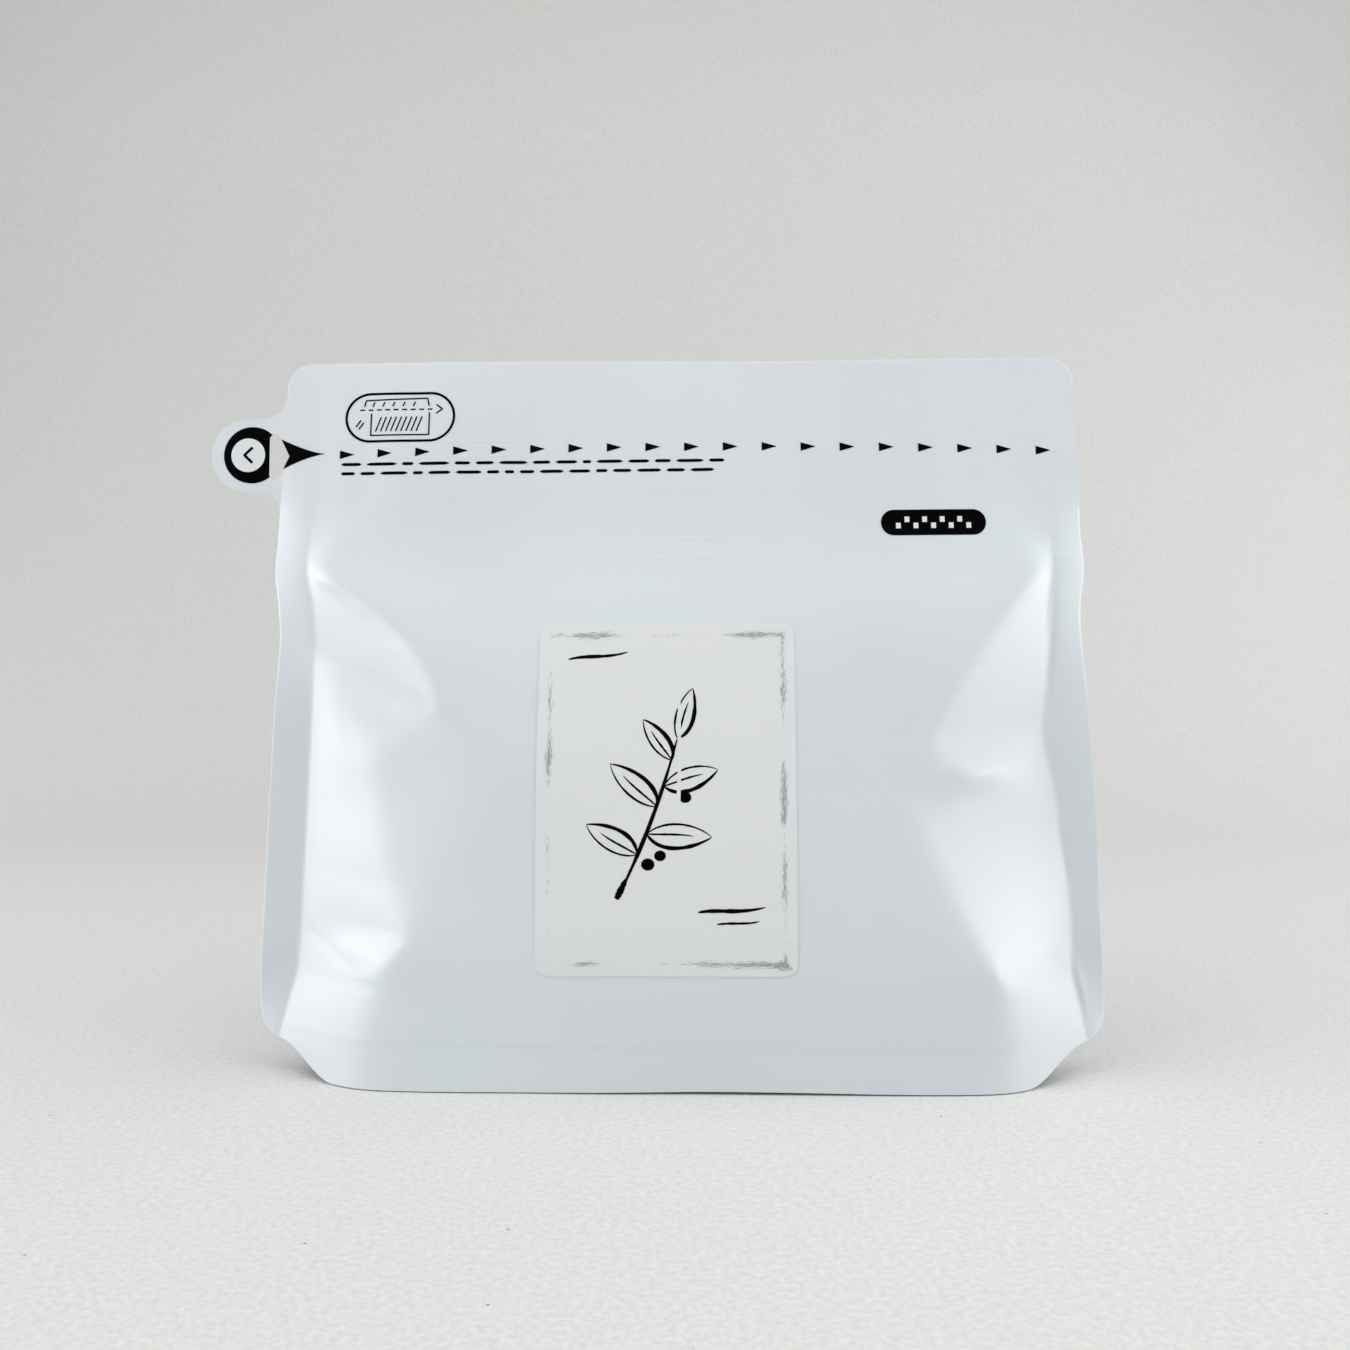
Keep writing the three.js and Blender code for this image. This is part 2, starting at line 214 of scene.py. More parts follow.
# Coated label paper, printed and cut with a die: flatter and more neutral than the film. A thin
# frame is printed along its rim in dark grey as if with a dry brush, worn through to the paper.
labelPaper = {
    "colour": "#E4E6E7", "roughness": 0.55, "ior": 1.45,
    "fibreSize": 0.35, "fibreStrength": 0.08, "fibreDepth": 0.04,  # mm
    "frameInk": "#5A5D60", "frameInset": 2.3, "frameSpread": 1.3,  # mm in from the rim, mm wide
    "streakLength": 1.7, "streakWidth": 0.2,  # mm, of the brush's bristle marks
    "streakDetail": 4.0, "streakRoughness": 0.75, "rimBlend": 0.05,
    "patchSize": 13,  # mm between the places where the brush ran dry
    # the ink at a place is the sum of these: the middle of the frame's line, a wet patch, a corner
    # of the label, and the bristle marks on both sides of their mean
    "lineInk": 0.45, "patchInk": 0.42, "cornerInk": 0.22, "streakInk": 1.5,
    "patchLow": 0.36, "patchHigh": 0.62,  # noise below the first is a dry patch
    "cornerFar": 0.75, "cornerNear": 0.3,  # centimetres from both edges together
    "dryLow": 0.6, "dryHigh": 0.85,  # ink below the first is gone, above the second is whole
    "cover": 0.65,  # how well whole ink hides the paper
}


def labelPaperMaterial():
    material, tree = newMaterial("coated_label_paper")
    paper = labelPaper

    def maths(operation, first, second=0.0, third=0.0):
        inputs = dict(enumerate((first, second, third)))
        values = {i: v for i, v in inputs.items() if isinstance(v, (int, float))}
        links = {i: v for i, v in inputs.items() if i not in values}
        return addNode(tree, "Math", {"operation": operation, **values}, links).outputs[0]

    # the label's own coordinates are centimetres from its middle
    flat = addNode(tree, "UVMap", {"uv_map": "labelPlace"}).outputs["UV"]
    split = addNode(tree, "SeparateXYZ", {}, {0: flat})
    toSide = maths("SUBTRACT", label["width"] / 20, maths("ABSOLUTE", split.outputs[0]))
    toEnd = maths("SUBTRACT", (label["high"] - label["low"]) / 20,
                  maths("ABSOLUTE", split.outputs[1]))
    rim = maths("MULTIPLY", maths("SMOOTH_MIN", toSide, toEnd, paper["rimBlend"]), 10.0)  # mm
    near = maths("ABSOLUTE", maths("SUBTRACT", rim, paper["frameInset"]))
    band = maths("SUBTRACT", 1.0, maths("DIVIDE", near, paper["frameSpread"]))

    def streaks(lengthways, shift):
        # bristle marks: noise drawn out along one direction
        across, along = 10 / paper["streakWidth"], 10 / paper["streakLength"]
        scale = (across, along, 1) if lengthways else (along, across, 1)
        place = addNode(tree, "Mapping", {"Scale": scale, "Location": (shift, shift, 0)},
                        {"Vector": flat})
        return addNode(tree, "TexNoise", {"Scale": 1.0, "Detail": paper["streakDetail"],
                                          "Roughness": paper["streakRoughness"]},
                       {"Vector": place.outputs[0]}).outputs["Fac"]

    onSide = maths("LESS_THAN", toSide, toEnd)
    marks = addNode(tree, "Mix", {"data_type": "FLOAT"},
                    {0: onSide, 2: streaks(False, 3.7), 3: streaks(True, 1.9)}).outputs[0]
    patches = addNode(tree, "TexNoise", {"Scale": 10 / paper["patchSize"], "Detail": 1.0},
                      {"Vector": flat}).outputs["Fac"]
    wet = addNode(tree, "MapRange", {"From Min": paper["patchLow"], "From Max": paper["patchHigh"],
                                     "To Max": paper["patchInk"]}, {0: patches})
    corner = addNode(tree, "MapRange",
                     {"From Min": paper["cornerFar"], "From Max": paper["cornerNear"],
                      "To Max": paper["cornerInk"]}, {0: maths("ADD", toSide, toEnd)})
    ink = maths("ADD", maths("MULTIPLY", band, paper["lineInk"]), wet.outputs[0])
    ink = maths("ADD", maths("ADD", ink, corner.outputs[0]),
                maths("MULTIPLY", maths("SUBTRACT", marks, 0.5), paper["streakInk"]))
    cover = addNode(tree, "MapRange",
                    {"From Min": paper["dryLow"], "From Max": paper["dryHigh"],
                     "To Max": paper["cover"], "interpolation_type": "SMOOTHSTEP"}, {0: ink})
    covered = maths("MULTIPLY", cover.outputs[0], maths("GREATER_THAN", band, 0.0))
    colour = addNode(tree, "Mix", {"data_type": "RGBA", 6: linearColour(paper["colour"]),
                                   7: linearColour(paper["frameInk"])}, {0: covered})
    place = addNode(tree, "TexCoord").outputs["Object"]
    fibre = addNode(tree, "TexNoise", {"Scale": 1 / (paper["fibreSize"] * mm), "Detail": 3.0},
                    {"Vector": place})
    bump = addNode(tree, "Bump",
                   {"Strength": paper["fibreStrength"], "Distance": paper["fibreDepth"] * mm},
                   {"Height": fibre.outputs["Fac"]})
    shader = addNode(tree, "BsdfPrincipled",
                     {"Roughness": paper["roughness"], "IOR": paper["ior"]},
                     {"Base Color": colour.outputs[2], "Normal": bump.outputs["Normal"]})
    addNode(tree, "OutputMaterial", {}, {"Surface": shader.outputs["BSDF"]})
    return material


# Gravure printing ink: a dense black under the film's matt varnish, with hardly any shine, and the
# white of the tab's disc and the zip's teeth, which shines like the film. Both are a little uneven.
blackInk = {"colour": "#030304", "roughness": 0.5, "ior": 1.5, "shine": 0.03}
whiteInk = {"colour": "#E2E6E9", "roughness": 0.4, "ior": 1.5, "shine": 0.5}
inkGrain = {"size": 0.4, "strength": 0.05, "depth": 0.03}  # mm


def inkMaterial(name, settings):
    material, tree = newMaterial(name)
    place = addNode(tree, "TexCoord").outputs["Object"]
    grain = addNode(tree, "TexNoise", {"Scale": 1 / (inkGrain["size"] * mm)}, {"Vector": place})
    bump = addNode(tree, "Bump",
                   {"Strength": inkGrain["strength"], "Distance": inkGrain["depth"] * mm},
                   {"Height": grain.outputs["Fac"]})
    shader = addNode(tree, "BsdfPrincipled",
                     {"Base Color": linearColour(settings["colour"]),
                      "Roughness": settings["roughness"], "IOR": settings["ior"],
                      "Specular IOR Level": settings["shine"]},
                     {"Normal": bump.outputs["Normal"]})
    addNode(tree, "OutputMaterial", {}, {"Surface": shader.outputs["BSDF"]})
    return material


filmFinish = mattFilmMaterial()
inkFinish = inkMaterial("black_gravure_ink", blackInk)
whiteInkFinish = inkMaterial("white_gravure_ink", whiteInk)
print("materials made")


# The pouch. Lengths are millimetres; x runs to the right, y to the back, z up.
pouch = {
    "centreX": -0.8,  # the pouch stands a little to the left of the frame's middle
    "topHalfWidth": 79.7, "earHalfWidth": 83.3, "height": 141.4,
    "topLean": 15.3, "leanStart": 7,  # how far the top lies back, and where that starts
    "filmThickness": 0.3, "rimWidth": 0.35, "rimDrop": 0.11,
    "leftRise": 0.8, "riseFrom": 30, "riseTo": -50,  # how much higher the top edge is on the left
    "skirtGap": 0.6, "gapAtEnds": 0.4,  # under the bottom seals, and the share of it at their ends
    "gapMiddle": 12, "gapSpread": 24,
    "topCornerRadius": 5, "earCornerRadius": 5,
    "earLift": 6.5, "liftStart": 66.4, "liftPast": 1,  # the ears hang this far up, from here out
    # the seal at the foot: its height, how much thinner it is, and over how many millimetres that
    # fades beside it, below its edge and above it
    "bottomBand": 9, "bandStep": 0.12, "bandBeside": 3, "bandBelow": 0.5, "bandAbove": 0.4,
    "columns": 196, "rows": 226,
    "sharpAngle": 50, "mergeAt": 0.002,
    "evenRowsTo": 0.9965, "lastRows": [0.998, 0.9988, 0.9995, 1],  # closer rows round the top edge
}

# how far the middle of a panel stands out from the seams, at a few heights
frontBelly = {"z": [0, 9, 25, 44, 60, 75, 88, 97, 103, 110, 118, 128, 141.4],
              "depth": [13.1, 13.05, 14.45, 13.2, 10.8, 8.4, 6.2, 3.9, 2.2, 1.5, 1.1, 0.6, 0]}
backBelly = {"z": [0, 9, 22, 34, 52, 70, 86, 97, 103, 110, 118, 128, 141.4],
             "depth": [16, 16.8, 19.6, 20.5, 18, 13, 8.2, 4.6, 2.6, 1.7, 1.2, 0.6, 0]}

# Each side falls from the panel to the seal in two slopes. Heights are paired with millimetres in
# from the bag's edge: "fold" is where the steep slope ends, "panel" where the panel begins, and
# "share" is how much of the depth the steep slope takes. Their points are the tips of the facets.
# "soft" is how round the panel's edge is, and "crest" is the share by which the film stands higher
# along it than farther in. The slant lifts a valley's end at the seal, and "fade" is over how many
# millimetres of height the folds run together there.
frontLeftSide = {
    "foldZ": [0, 10, 16.8, 23, 25.5, 28, 30, 32, 35, 39.3, 50, 61, 62.5, 65.2, 66.7, 69, 71.5, 73.9,
              75.8, 80.6, 84.5, 88.4, 93.8, 97, 101, 107, 116],
    "fold": [20.2, 21.2, 23, 24.8, 25.6, 27.6, 28.8, 28.6, 28.2, 27.6, 24.8, 22.8, 22.7, 23.2, 25.4,
             30.4, 32.6, 34, 33.2, 31, 27.9, 24.2, 17.4, 12.2, 9.8, 14, 22],
    "panelZ": [0, 10.8, 16.8, 23, 27.4, 30, 32, 35.8, 40.4, 46.9, 53, 57, 61.1, 65.4, 69.8, 71.7,
               73.9, 75.8, 80.6, 84.5, 88.4, 93.8, 97, 101, 107, 116],
    "panel": [22, 22.7, 24.3, 26.2, 31.1, 32.5, 31.8, 32.5, 35, 40.3, 43.4, 44, 43.1, 40.1, 36.5,
              34.2, 34.5, 33.6, 31.4, 28.3, 24.6, 17.8, 12.6, 10.6, 15, 24],
    "shareZ": [0, 23, 30, 36, 45, 52, 58, 65, 68, 71, 74, 120],
    "share": [0.91, 0.83, 0.86, 0.88, 0.82, 0.74, 0.7, 0.7, 0.78, 0.9, 0.95, 0.95],
    "crestZ": [0, 40, 52, 62, 72, 80, 92, 102, 110],
    "crest": [0, 0.02, 0.09, 0.2, 0.29, 0.31, 0.24, 0.08, 0],
    "softZ": [0, 20, 28, 32, 40, 57, 68, 73, 82, 120], "soft": [5, 4, 1.2, 2, 6, 6, 3, 1, 1.6, 3],
    "slantAt": 79, "slantSpread": 12, "slantRise": 11, "fade": 1.5,
}
frontRightSide = {
    "foldZ": [0, 10.4, 19, 22.9, 24.4, 30.8, 38, 46, 50, 53.6, 55.7, 57.3, 58.6, 59.8, 60.9, 62.2,
              64.1, 66.6, 73.1, 80.4, 87.7, 94.8, 98, 105, 116],
    "fold": [18.2, 19, 20.2, 22, 22.2, 25, 27.8, 30.4, 31, 30.2, 28.6, 26.6, 25.2, 25, 26.6, 28.8,
             30, 30.6, 27, 22, 17.2, 11.6, 9.4, 13, 22],
    "panelZ": [0, 10.4, 12.7, 19.1, 22.9, 24.4, 30.8, 38.1, 46.3, 52.6, 55.6, 57.2, 59.4, 61.7,
               64.1, 66.6, 73.1, 80.4, 87.7, 94.8, 98, 105, 116],
    "panel": [19, 19.6, 20.2, 21.6, 22.6, 22.9, 26.6, 30.3, 34, 36.4, 36.7, 36, 33.8, 32.4, 32,
              31.2, 27.5, 22.5, 17.7, 12, 10, 14, 24],
    "shareZ": [0, 20, 24, 34, 47, 54, 58, 61, 64, 120],
    "share": [0.92, 0.92, 0.92, 0.87, 0.84, 0.82, 0.82, 0.88, 0.93, 0.95],
    "crestZ": [0, 120], "crest": [0, 0],
    "softZ": [0, 18, 23, 28, 40, 52, 54, 59, 64, 70, 120],
    "soft": [5, 3, 1.2, 3, 4, 2, 1.2, 2, 1.2, 2, 3],
    "slantAt": 60, "slantSpread": 8, "slantRise": 1.5, "fade": 8,
}
backLeftSide = {
    "foldZ": [0, 14, 26, 36, 42, 53, 66, 72, 84, 94, 103, 116],
    "fold": [21, 23, 28, 36, 30, 29, 38, 31, 25, 19, 12, 12],
    "panelZ": [0, 26, 36, 53, 66, 84, 103, 116], "panel": [23, 33, 40, 40, 43, 30, 14, 13],
    "shareZ": [0, 120], "share": [0.86, 0.86], "softZ": [0, 120], "soft": [3, 3],
    "crestZ": [0, 120], "crest": [0, 0],
    "slantAt": 68, "slantSpread": 12, "slantRise": 7, "fade": 2,
}
backRightSide = {
    "foldZ": [0, 16, 28, 34, 47, 60, 67, 78, 88, 98, 116],
    "fold": [21, 24, 34, 28, 31, 40, 32, 27, 21, 13, 12],
    "panelZ": [0, 28, 47, 60, 78, 98, 116], "panel": [23, 37, 41, 44, 33, 16, 13],
    "shareZ": [0, 120], "share": [0.86, 0.86], "softZ": [0, 120], "soft": [3, 3],
    "crestZ": [0, 120], "crest": [0, 0],
    "slantAt": 60, "slantSpread": 12, "slantRise": 8, "fade": 2,
}
foldSoft = 3.5  # mm, how round the fold between the two slopes is at most
crestReach = 26  # mm, how far in from a panel's edge its crest has gone
slopeLeast = 0.3  # mm, how narrow the gentle slope gets at the least
# Over how many mm of height, up and down, these tables are read softly
softly = {"belly": 7, "seal": 1.5, "side": 1.1, "crest": 4}

# the side seals' widths: narrow at the ears, wider where the filling pulls the right one in
sealWidths = {
    "leftZ": [6.5, 11, 20, 28, 110, 141], "left": [3.6, 5, 7.4, 7.6, 7.2, 5.4],
    "rightZ": [6.5, 10, 20, 31, 38, 51, 60, 66, 71, 84, 97, 112, 141],
    "right": [3.4, 4.2, 6.1, 5.6, 5.8, 6.5, 7.7, 8.9, 8.1, 6.7, 6.7, 5.7, 5.4],
}

# Creases in the front: from x, z to x, z, how deep they are pressed in (less than 0 stands out),
# and how wide they are. Each is deepest and widest in its middle and dies away at both ends,
# where it still has this share of its width.
creaseEnds = 0.4
frontCreases = [
    {"start": (-75, 29.5), "end": (-60, 21), "deep": 0.35, "width": 1.6},
    {"start": (73.5, 21.8), "end": (69.5, 24.6), "deep": 0.2, "width": 0.7},
    {"start": (60, 79.6), "end": (57, 79), "deep": 0.12, "width": 0.5},
    {"start": (-55, 9.5), "end": (-40, 17.5), "deep": -0.25, "width": 3},
    {"start": (74.1, 97), "end": (71.9, 71), "deep": 0.4, "width": 0.45},
    {"start": (72.8, 52), "end": (75.6, 36), "deep": 0.25, "width": 0.5},
    {"start": (76, 24), "end": (79, 13), "deep": -0.45, "width": 0.9},
]

# Ledges: along a line from x, z to x, z the film on its right stands out, and falls back within a
# reach of millimetres. "ends" are the shares of its length over which it fades in and out.
frontLedges = [
    {"start": (-76.5, 85.6), "end": (-46, 73.5), "rise": 0.22, "width": 0.9, "reach": 8,
     "ends": (0.1, 0.2)},
    {"start": (-69, 50), "end": (-72.6, 85), "rise": 0.8, "width": 4.5, "reach": 16,
     "ends": (0.6, 0.15)},
]

# Swells: soft bulges at x, z with a half width, a half height and how far they stand out
frontSwells = [
    {"place": (-41, 57), "size": (9, 9), "rise": 0.7},
]


def fromMiddle(x):
    return np.abs(x - pouch["centreX"])


# The outline of the sides: from the ears it tapers in to the waist. A swell is its height, how far
# it spreads and how far it stands out; the left side has one more, and a slightly deeper waist.
sideOutline = {
    "taperFrom": 14, "taperHeight": 72, "taperPower": 1.2,
    "swells": [(99, 6, 1.1), (111, 10, 0.5)],
    "leftSwell": (107, 9, 0.75), "leftWaist": 0.35, "waistFrom": 92, "waistTo": 84,
}


def swellAt(z, swell):
    # a bell of the swell's rise at its height
    height, spread, rise = swell
    return rise * hump(z, height, spread)


def halfWidth(side, z):
    # the top's half width, plus the taper, which is the ears' widening times a power of the share
    # of height left over them, plus the swells. The side is any number below 0 for the left one
    o = sideOutline
    widening = pouch["earHalfWidth"] - pouch["topHalfWidth"]
    below = np.clip(1 - (z - o["taperFrom"]) / o["taperHeight"], 0, None)
    taper = widening * below ** o["taperPower"]
    swell = sum(swellAt(z, one) for one in o["swells"])
    left = swellAt(z, o["leftSwell"]) - o["leftWaist"] * smoothStep(o["waistFrom"], o["waistTo"], z)
    return (pouch["topHalfWidth"] + np.minimum(taper, widening) + swell
            + np.where(side < 0, left, 0))


def seamY(z):
    # the side seams and the flat top lean back along a parabola
    t = np.clip((z - pouch["leanStart"]) / (pouch["height"] - pouch["leanStart"]), 0, None)
    return pouch["topLean"] * t * t


def softRead(z, heights, values, blur):
    # a value read at a height, averaged over a little height so that its corners are round
    return sum(np.interp(z + step * blur, heights, values) for step in np.linspace(-1, 1, 9)) / 9


def softRamp(distance, end, soft):
    # the distance up to the ramp's end and level beyond it, with a round corner soft mm wide
    start = (end - np.hypot(end, soft)) / 2
    return ((distance + end - np.hypot(distance - end, soft)) / 2 - start) * end / (end - start)


def sealWidth(x, z):
    # the seal's width on this side of the bag, read at its height
    left = softRead(z, sealWidths["leftZ"], sealWidths["left"], softly["seal"])
    right = softRead(z, sealWidths["rightZ"], sealWidths["right"], softly["seal"])
    return np.where(x < 0, left, right)


def sideRise(fromEdge, seal, z, side):
    # the share of the belly's depth: the steep slope's ramp plus the gentle slope's ramp
    steepEnd = np.interp(z, side["foldZ"], side["fold"])
    inner = np.clip(1 - (fromEdge - seal) / (steepEnd - seal), 0, 1)
    height = z - side["slantRise"] * hump(z, side["slantAt"], side["slantSpread"]) * inner
    blur = softly["side"] + side["fade"] * inner ** 2
    fold = softRead(height, side["foldZ"], side["fold"], blur) - seal
    panel = softRead(height, side["panelZ"], side["panel"], blur) - seal
    panel = np.maximum(panel, fold + slopeLeast)
    share = softRead(height, side["shareZ"], side["share"], softly["side"])
    soft = np.interp(height, side["softZ"], side["soft"])
    steep, gentle = share / fold, (1 - share) / (panel - fold)
    distance = np.clip(fromEdge - seal, 0, None)
    crest = softRead(height, side["crestZ"], side["crest"], softly["crest"])
    inside = np.clip(distance - panel, 0, None)
    slopes = ((steep - gentle) * softRamp(distance, fold, np.minimum(foldSoft, soft))
              + gentle * softRamp(distance, panel, soft))
    return slopes * (1 + crest * hump(inside, 0, crestReach))


def panelDepth(x, z, belly, leftSide, rightSide):
    # belly depth times the sides' rise, with no depth on the seals
    fromEdge, seal = halfWidth(x, z) - fromMiddle(x), sealWidth(x, z)
    rise = np.where(x < 0, sideRise(fromEdge, seal, z, leftSide),
                    sideRise(fromEdge, seal, z, rightSide))
    return softRead(z, belly["z"], belly["depth"], softly["belly"]) * rise


def creaseDepth(x, z, creases):
    # each crease is its depth times e to minus the distance from its line over its width there,
    # and both grow from the ends to the middle on a parabola
    total = np.zeros(np.broadcast(x, z).shape)
    for crease in creases:
        (x0, z0), (x1, z1) = crease["start"], crease["end"]
        length = math.hypot(x1 - x0, z1 - z0)
        along = ((x - x0) * (x1 - x0) + (z - z0) * (z1 - z0)) / length ** 2
        aside = ((x - x0) * (z1 - z0) - (z - z0) * (x1 - x0)) / length
        taper = np.clip(1 - (2 * along - 1) ** 2, 0, 1)
        width = crease["width"] * (creaseEnds + taper)
        total += crease["deep"] * taper * np.exp(-np.abs(aside) / width)
    return total


def ledgeRise(x, z, ledges):
    # each ledge is a short S-shaped rise across its line, times a bell that falls off to the right
    # of it, times a plateau along the line that fades over a share of its length at both ends
    total = np.zeros(np.broadcast(x, z).shape)
    for ledge in ledges:
        (x0, z0), (x1, z1) = ledge["start"], ledge["end"]
        length = math.hypot(x1 - x0, z1 - z0)
        along = ((x - x0) * (x1 - x0) + (z - z0) * (z1 - z0)) / length ** 2
        below = ((x - x0) * (z1 - z0) - (z - z0) * (x1 - x0)) / length
        fadeIn, fadeOut = ledge["ends"]
        ends = smoothStep(0, fadeIn, along) * smoothStep(1, 1 - fadeOut, along)
        total += (ledge["rise"] * ends * smoothStep(-ledge["width"], ledge["width"], below)
                  * np.exp(-(np.clip(below, 0, None) / ledge["reach"]) ** 2))
    return total


def swellRise(x, z, swells):
    # each swell is a bell over x times a bell over z
    return sum(swell["rise"] * hump(x, swell["place"][0], swell["size"][0])
               * hump(z, swell["place"][1], swell["size"][1]) for swell in swells)


def bandStep(x, z):
    # the film is a little thinner where the bottom seal presses both sheets together
    p = pouch
    top = p["bottomBand"]
    inside = smoothStep(0, p["bandBeside"], halfWidth(x, z) - sealWidth(x, z) - fromMiddle(x))
    return p["bandStep"] * inside * (1 - smoothStep(top - p["bandBelow"], top + p["bandAbove"], z))


# How the side seals curl, as height, spread and mm to the front (less than 0 to the back), and how
# they sway along their height, as mm, mm of height for one radian, and the phases left and right
sealCurl = {
    "left": [(50, 34, 0.9), (106, 18, -2.0), (8, 10, -1.5)],
    "right": [(62, 26, 1.7), (98, 20, -2.0), (8, 10, -1.5)],
    "sways": [(0.25, 9.5, 0.4, 2.1), (0.12, 3.7, 1.3, 1.3)],
    "calmFrom": 125, "calmTo": 141,  # the top is flat
    "power": 1.5,  # how fast the bend grows towards the edge
}


def sealFlare(x, z):
    # how far the side seals bend towards the front: bells over the height and sine waves, times a
    # power of the share of the seal's width that is left behind
    beyond = np.clip((fromMiddle(x) - halfWidth(x, z)) / sealWidth(x, z) + 1, 0, 1)
    curl = np.where(x < 0, sum(swellAt(z, one) for one in sealCurl["left"]),
                    sum(swellAt(z, one) for one in sealCurl["right"]))
    sway = sum(size * np.sin(z / length + np.where(x < 0, left, right))
               for size, length, left, right in sealCurl["sways"])
    calm = smoothStep(sealCurl["calmTo"], sealCurl["calmFrom"], z)
    return beyond ** sealCurl["power"] * (curl + sway * calm)


# Two sets of low waves in the film, drawn out upwards by their stretch: long ones that end at the
# top edge, and short ones in the flat part over the filling. Millimetres.
ripples = {
    "long": {"rise": 0.1, "stretch": 0.25, "seed": 3, "count": 6, "shortest": 18, "longest": 45},
    "short": {"rise": 0.17, "stretch": 0.12, "seed": 11, "count": 7, "shortest": 9, "longest": 26},
    "longEnds": 30, "shortFrom": 98, "shortWhole": 112,
}


def ripple(x, z):
    # each set is its rise times a sum of sine waves, faded in over some height
    def waveSet(w):
        return w["rise"] * waves(x, z * w["stretch"], w["seed"], w["count"], w["shortest"],
                                 w["longest"])

    r = ripples
    return (waveSet(r["long"]) * smoothStep(0, r["longEnds"], pouch["height"] - z)
            + waveSet(r["short"]) * smoothStep(r["shortFrom"], r["shortWhole"], z))


def rimRound(x, z):
    # the cut edges of the film are round: both faces fall back along the sides and the top, by the
    # rim's drop times the square of how far inside the rim's width a point lies
    beside = np.where(np.abs(z - tab["centreZ"]) < tab["radius"] + tab["fillet"], 1.0,
                      halfWidth(x, z) - fromMiddle(x))
    above = topEdgeZ(x - pouch["centreX"]) - z
    near = np.clip(1 - np.minimum(beside, above) / pouch["rimWidth"], 0, 1)
    return pouch["rimDrop"] * near ** 2


def frontY(x, z):
    # the front face: the seam's plane, less the belly and all that stands out, plus what is pressed
    # in; and below, the back face in the same way
    seal = seamY(z) - pouch["filmThickness"] / 2 - sealFlare(x, z)
    depth = panelDepth(x, z, frontBelly, frontLeftSide, frontRightSide)
    forms = ledgeRise(x, z, frontLedges) + swellRise(x, z, frontSwells)
    return (seal - depth - forms + creaseDepth(x, z, frontCreases) + bandStep(x, z) - ripple(x, z)
            + rimRound(x, z))


def backY(x, z):
    seal = seamY(z) + pouch["filmThickness"] / 2 - sealFlare(x, z)
    depth = panelDepth(x, z, backBelly, backLeftSide, backRightSide)
    return seal + depth - bandStep(x, z) - ripple(x, z) - rimRound(x, z)


def skirtGap(x):
    # the bottom seals hang a little clear of the floor, most in the middle
    ends = pouch["gapAtEnds"]
    return pouch["skirtGap"] * (ends + (1 - ends) * hump(x, pouch["gapMiddle"], pouch["gapSpread"]))


def bottomEdgeZ(x):
    # near the floor in the middle, up an S to the ears, then round their corners on a circle
    radius = pouch["earCornerRadius"]
    arcStart = pouch["earHalfWidth"] - radius
    liftEnd = arcStart + pouch["liftPast"]
    lift = pouch["earLift"] * smoothStep(pouch["liftStart"], liftEnd, np.abs(x))
    past = np.clip(np.abs(x) - arcStart, 0, radius)
    return skirtGap(x) + lift + radius - np.sqrt(radius ** 2 - past ** 2)


def topEdgeZ(x):
    # straight, a little higher on the left, with a quarter circle at each end
    radius = pouch["topCornerRadius"]
    past = np.clip(np.abs(x) - (pouch["topHalfWidth"] - radius), 0, radius)
    rise = pouch["leftRise"] * smoothStep(pouch["riseFrom"], pouch["riseTo"], x)
    return pouch["height"] + rise - radius + np.sqrt(radius ** 2 - past ** 2)


# The pull tab, and the window punched through it and the bag's edge
tab = {"centreX": -88.2, "centreZ": 123.3, "radius": 7.6, "fillet": 4.5, "columns": 14}
tabWindow = {"top": 127.6, "bottom": 118.3, "left": -83.8, "right": -81.6, "tip": -79.6,
             "bevel": 0.7, "punchReach": 3}  # the punch stands this far out on both sides


def tabEdgeX(side, z):
    # a circle on the tab, a hollow quarter circle where it joins the side, the side elsewhere
    offset = np.abs(z - tab["centreZ"])
    disc = tab["centreX"] - np.sqrt(np.clip(tab["radius"] ** 2 - offset ** 2, 0, None))
    reach = np.clip(tab["radius"] + tab["fillet"] - offset, 0, tab["fillet"])
    join = side - tab["fillet"] + np.sqrt(np.clip(tab["fillet"] ** 2 - reach ** 2, 0, None))
    return np.where(offset <= tab["radius"], np.minimum(disc, side),
                    np.where(reach > 0, join, side))


def windowPunch():
    # a short bar through the film, with an arrow on its right side
    w = tabWindow
    middle = (w["top"] + w["bottom"]) / 2
    outline = [
        (w["left"], w["bottom"] + w["bevel"]), (w["left"] + w["bevel"], w["bottom"]),
        (w["right"] - w["bevel"], w["bottom"]), (w["right"], w["bottom"] + w["bevel"]),
        (w["tip"], middle), (w["right"], w["top"] - w["bevel"]),
        (w["right"] - w["bevel"], w["top"]), (w["left"] + w["bevel"], w["top"]),
        (w["left"], w["top"] - w["bevel"]),
    ]
    punch = bmesh.new()
    front = float(seamY(middle)) - w["punchReach"]
    ring = [punch.verts.new((x * mm, front * mm, z * mm)) for x, z in outline]
    face = punch.faces.new(ring)
    moved = bmesh.ops.extrude_face_region(punch, geom=[face])["geom"]
    bmesh.ops.translate(punch, vec=(0, 2 * w["punchReach"] * mm, 0),
                        verts=[v for v in moved if isinstance(v, bmesh.types.BMVert)])
    bmesh.ops.recalc_face_normals(punch, faces=punch.faces)
    mesh = bpy.data.meshes.new("window_punch")
    punch.to_mesh(mesh)
    punch.free()
    cutter = bpy.data.objects.new("window_punch", mesh)
    bpy.context.scene.collection.objects.link(cutter)
    return cutter


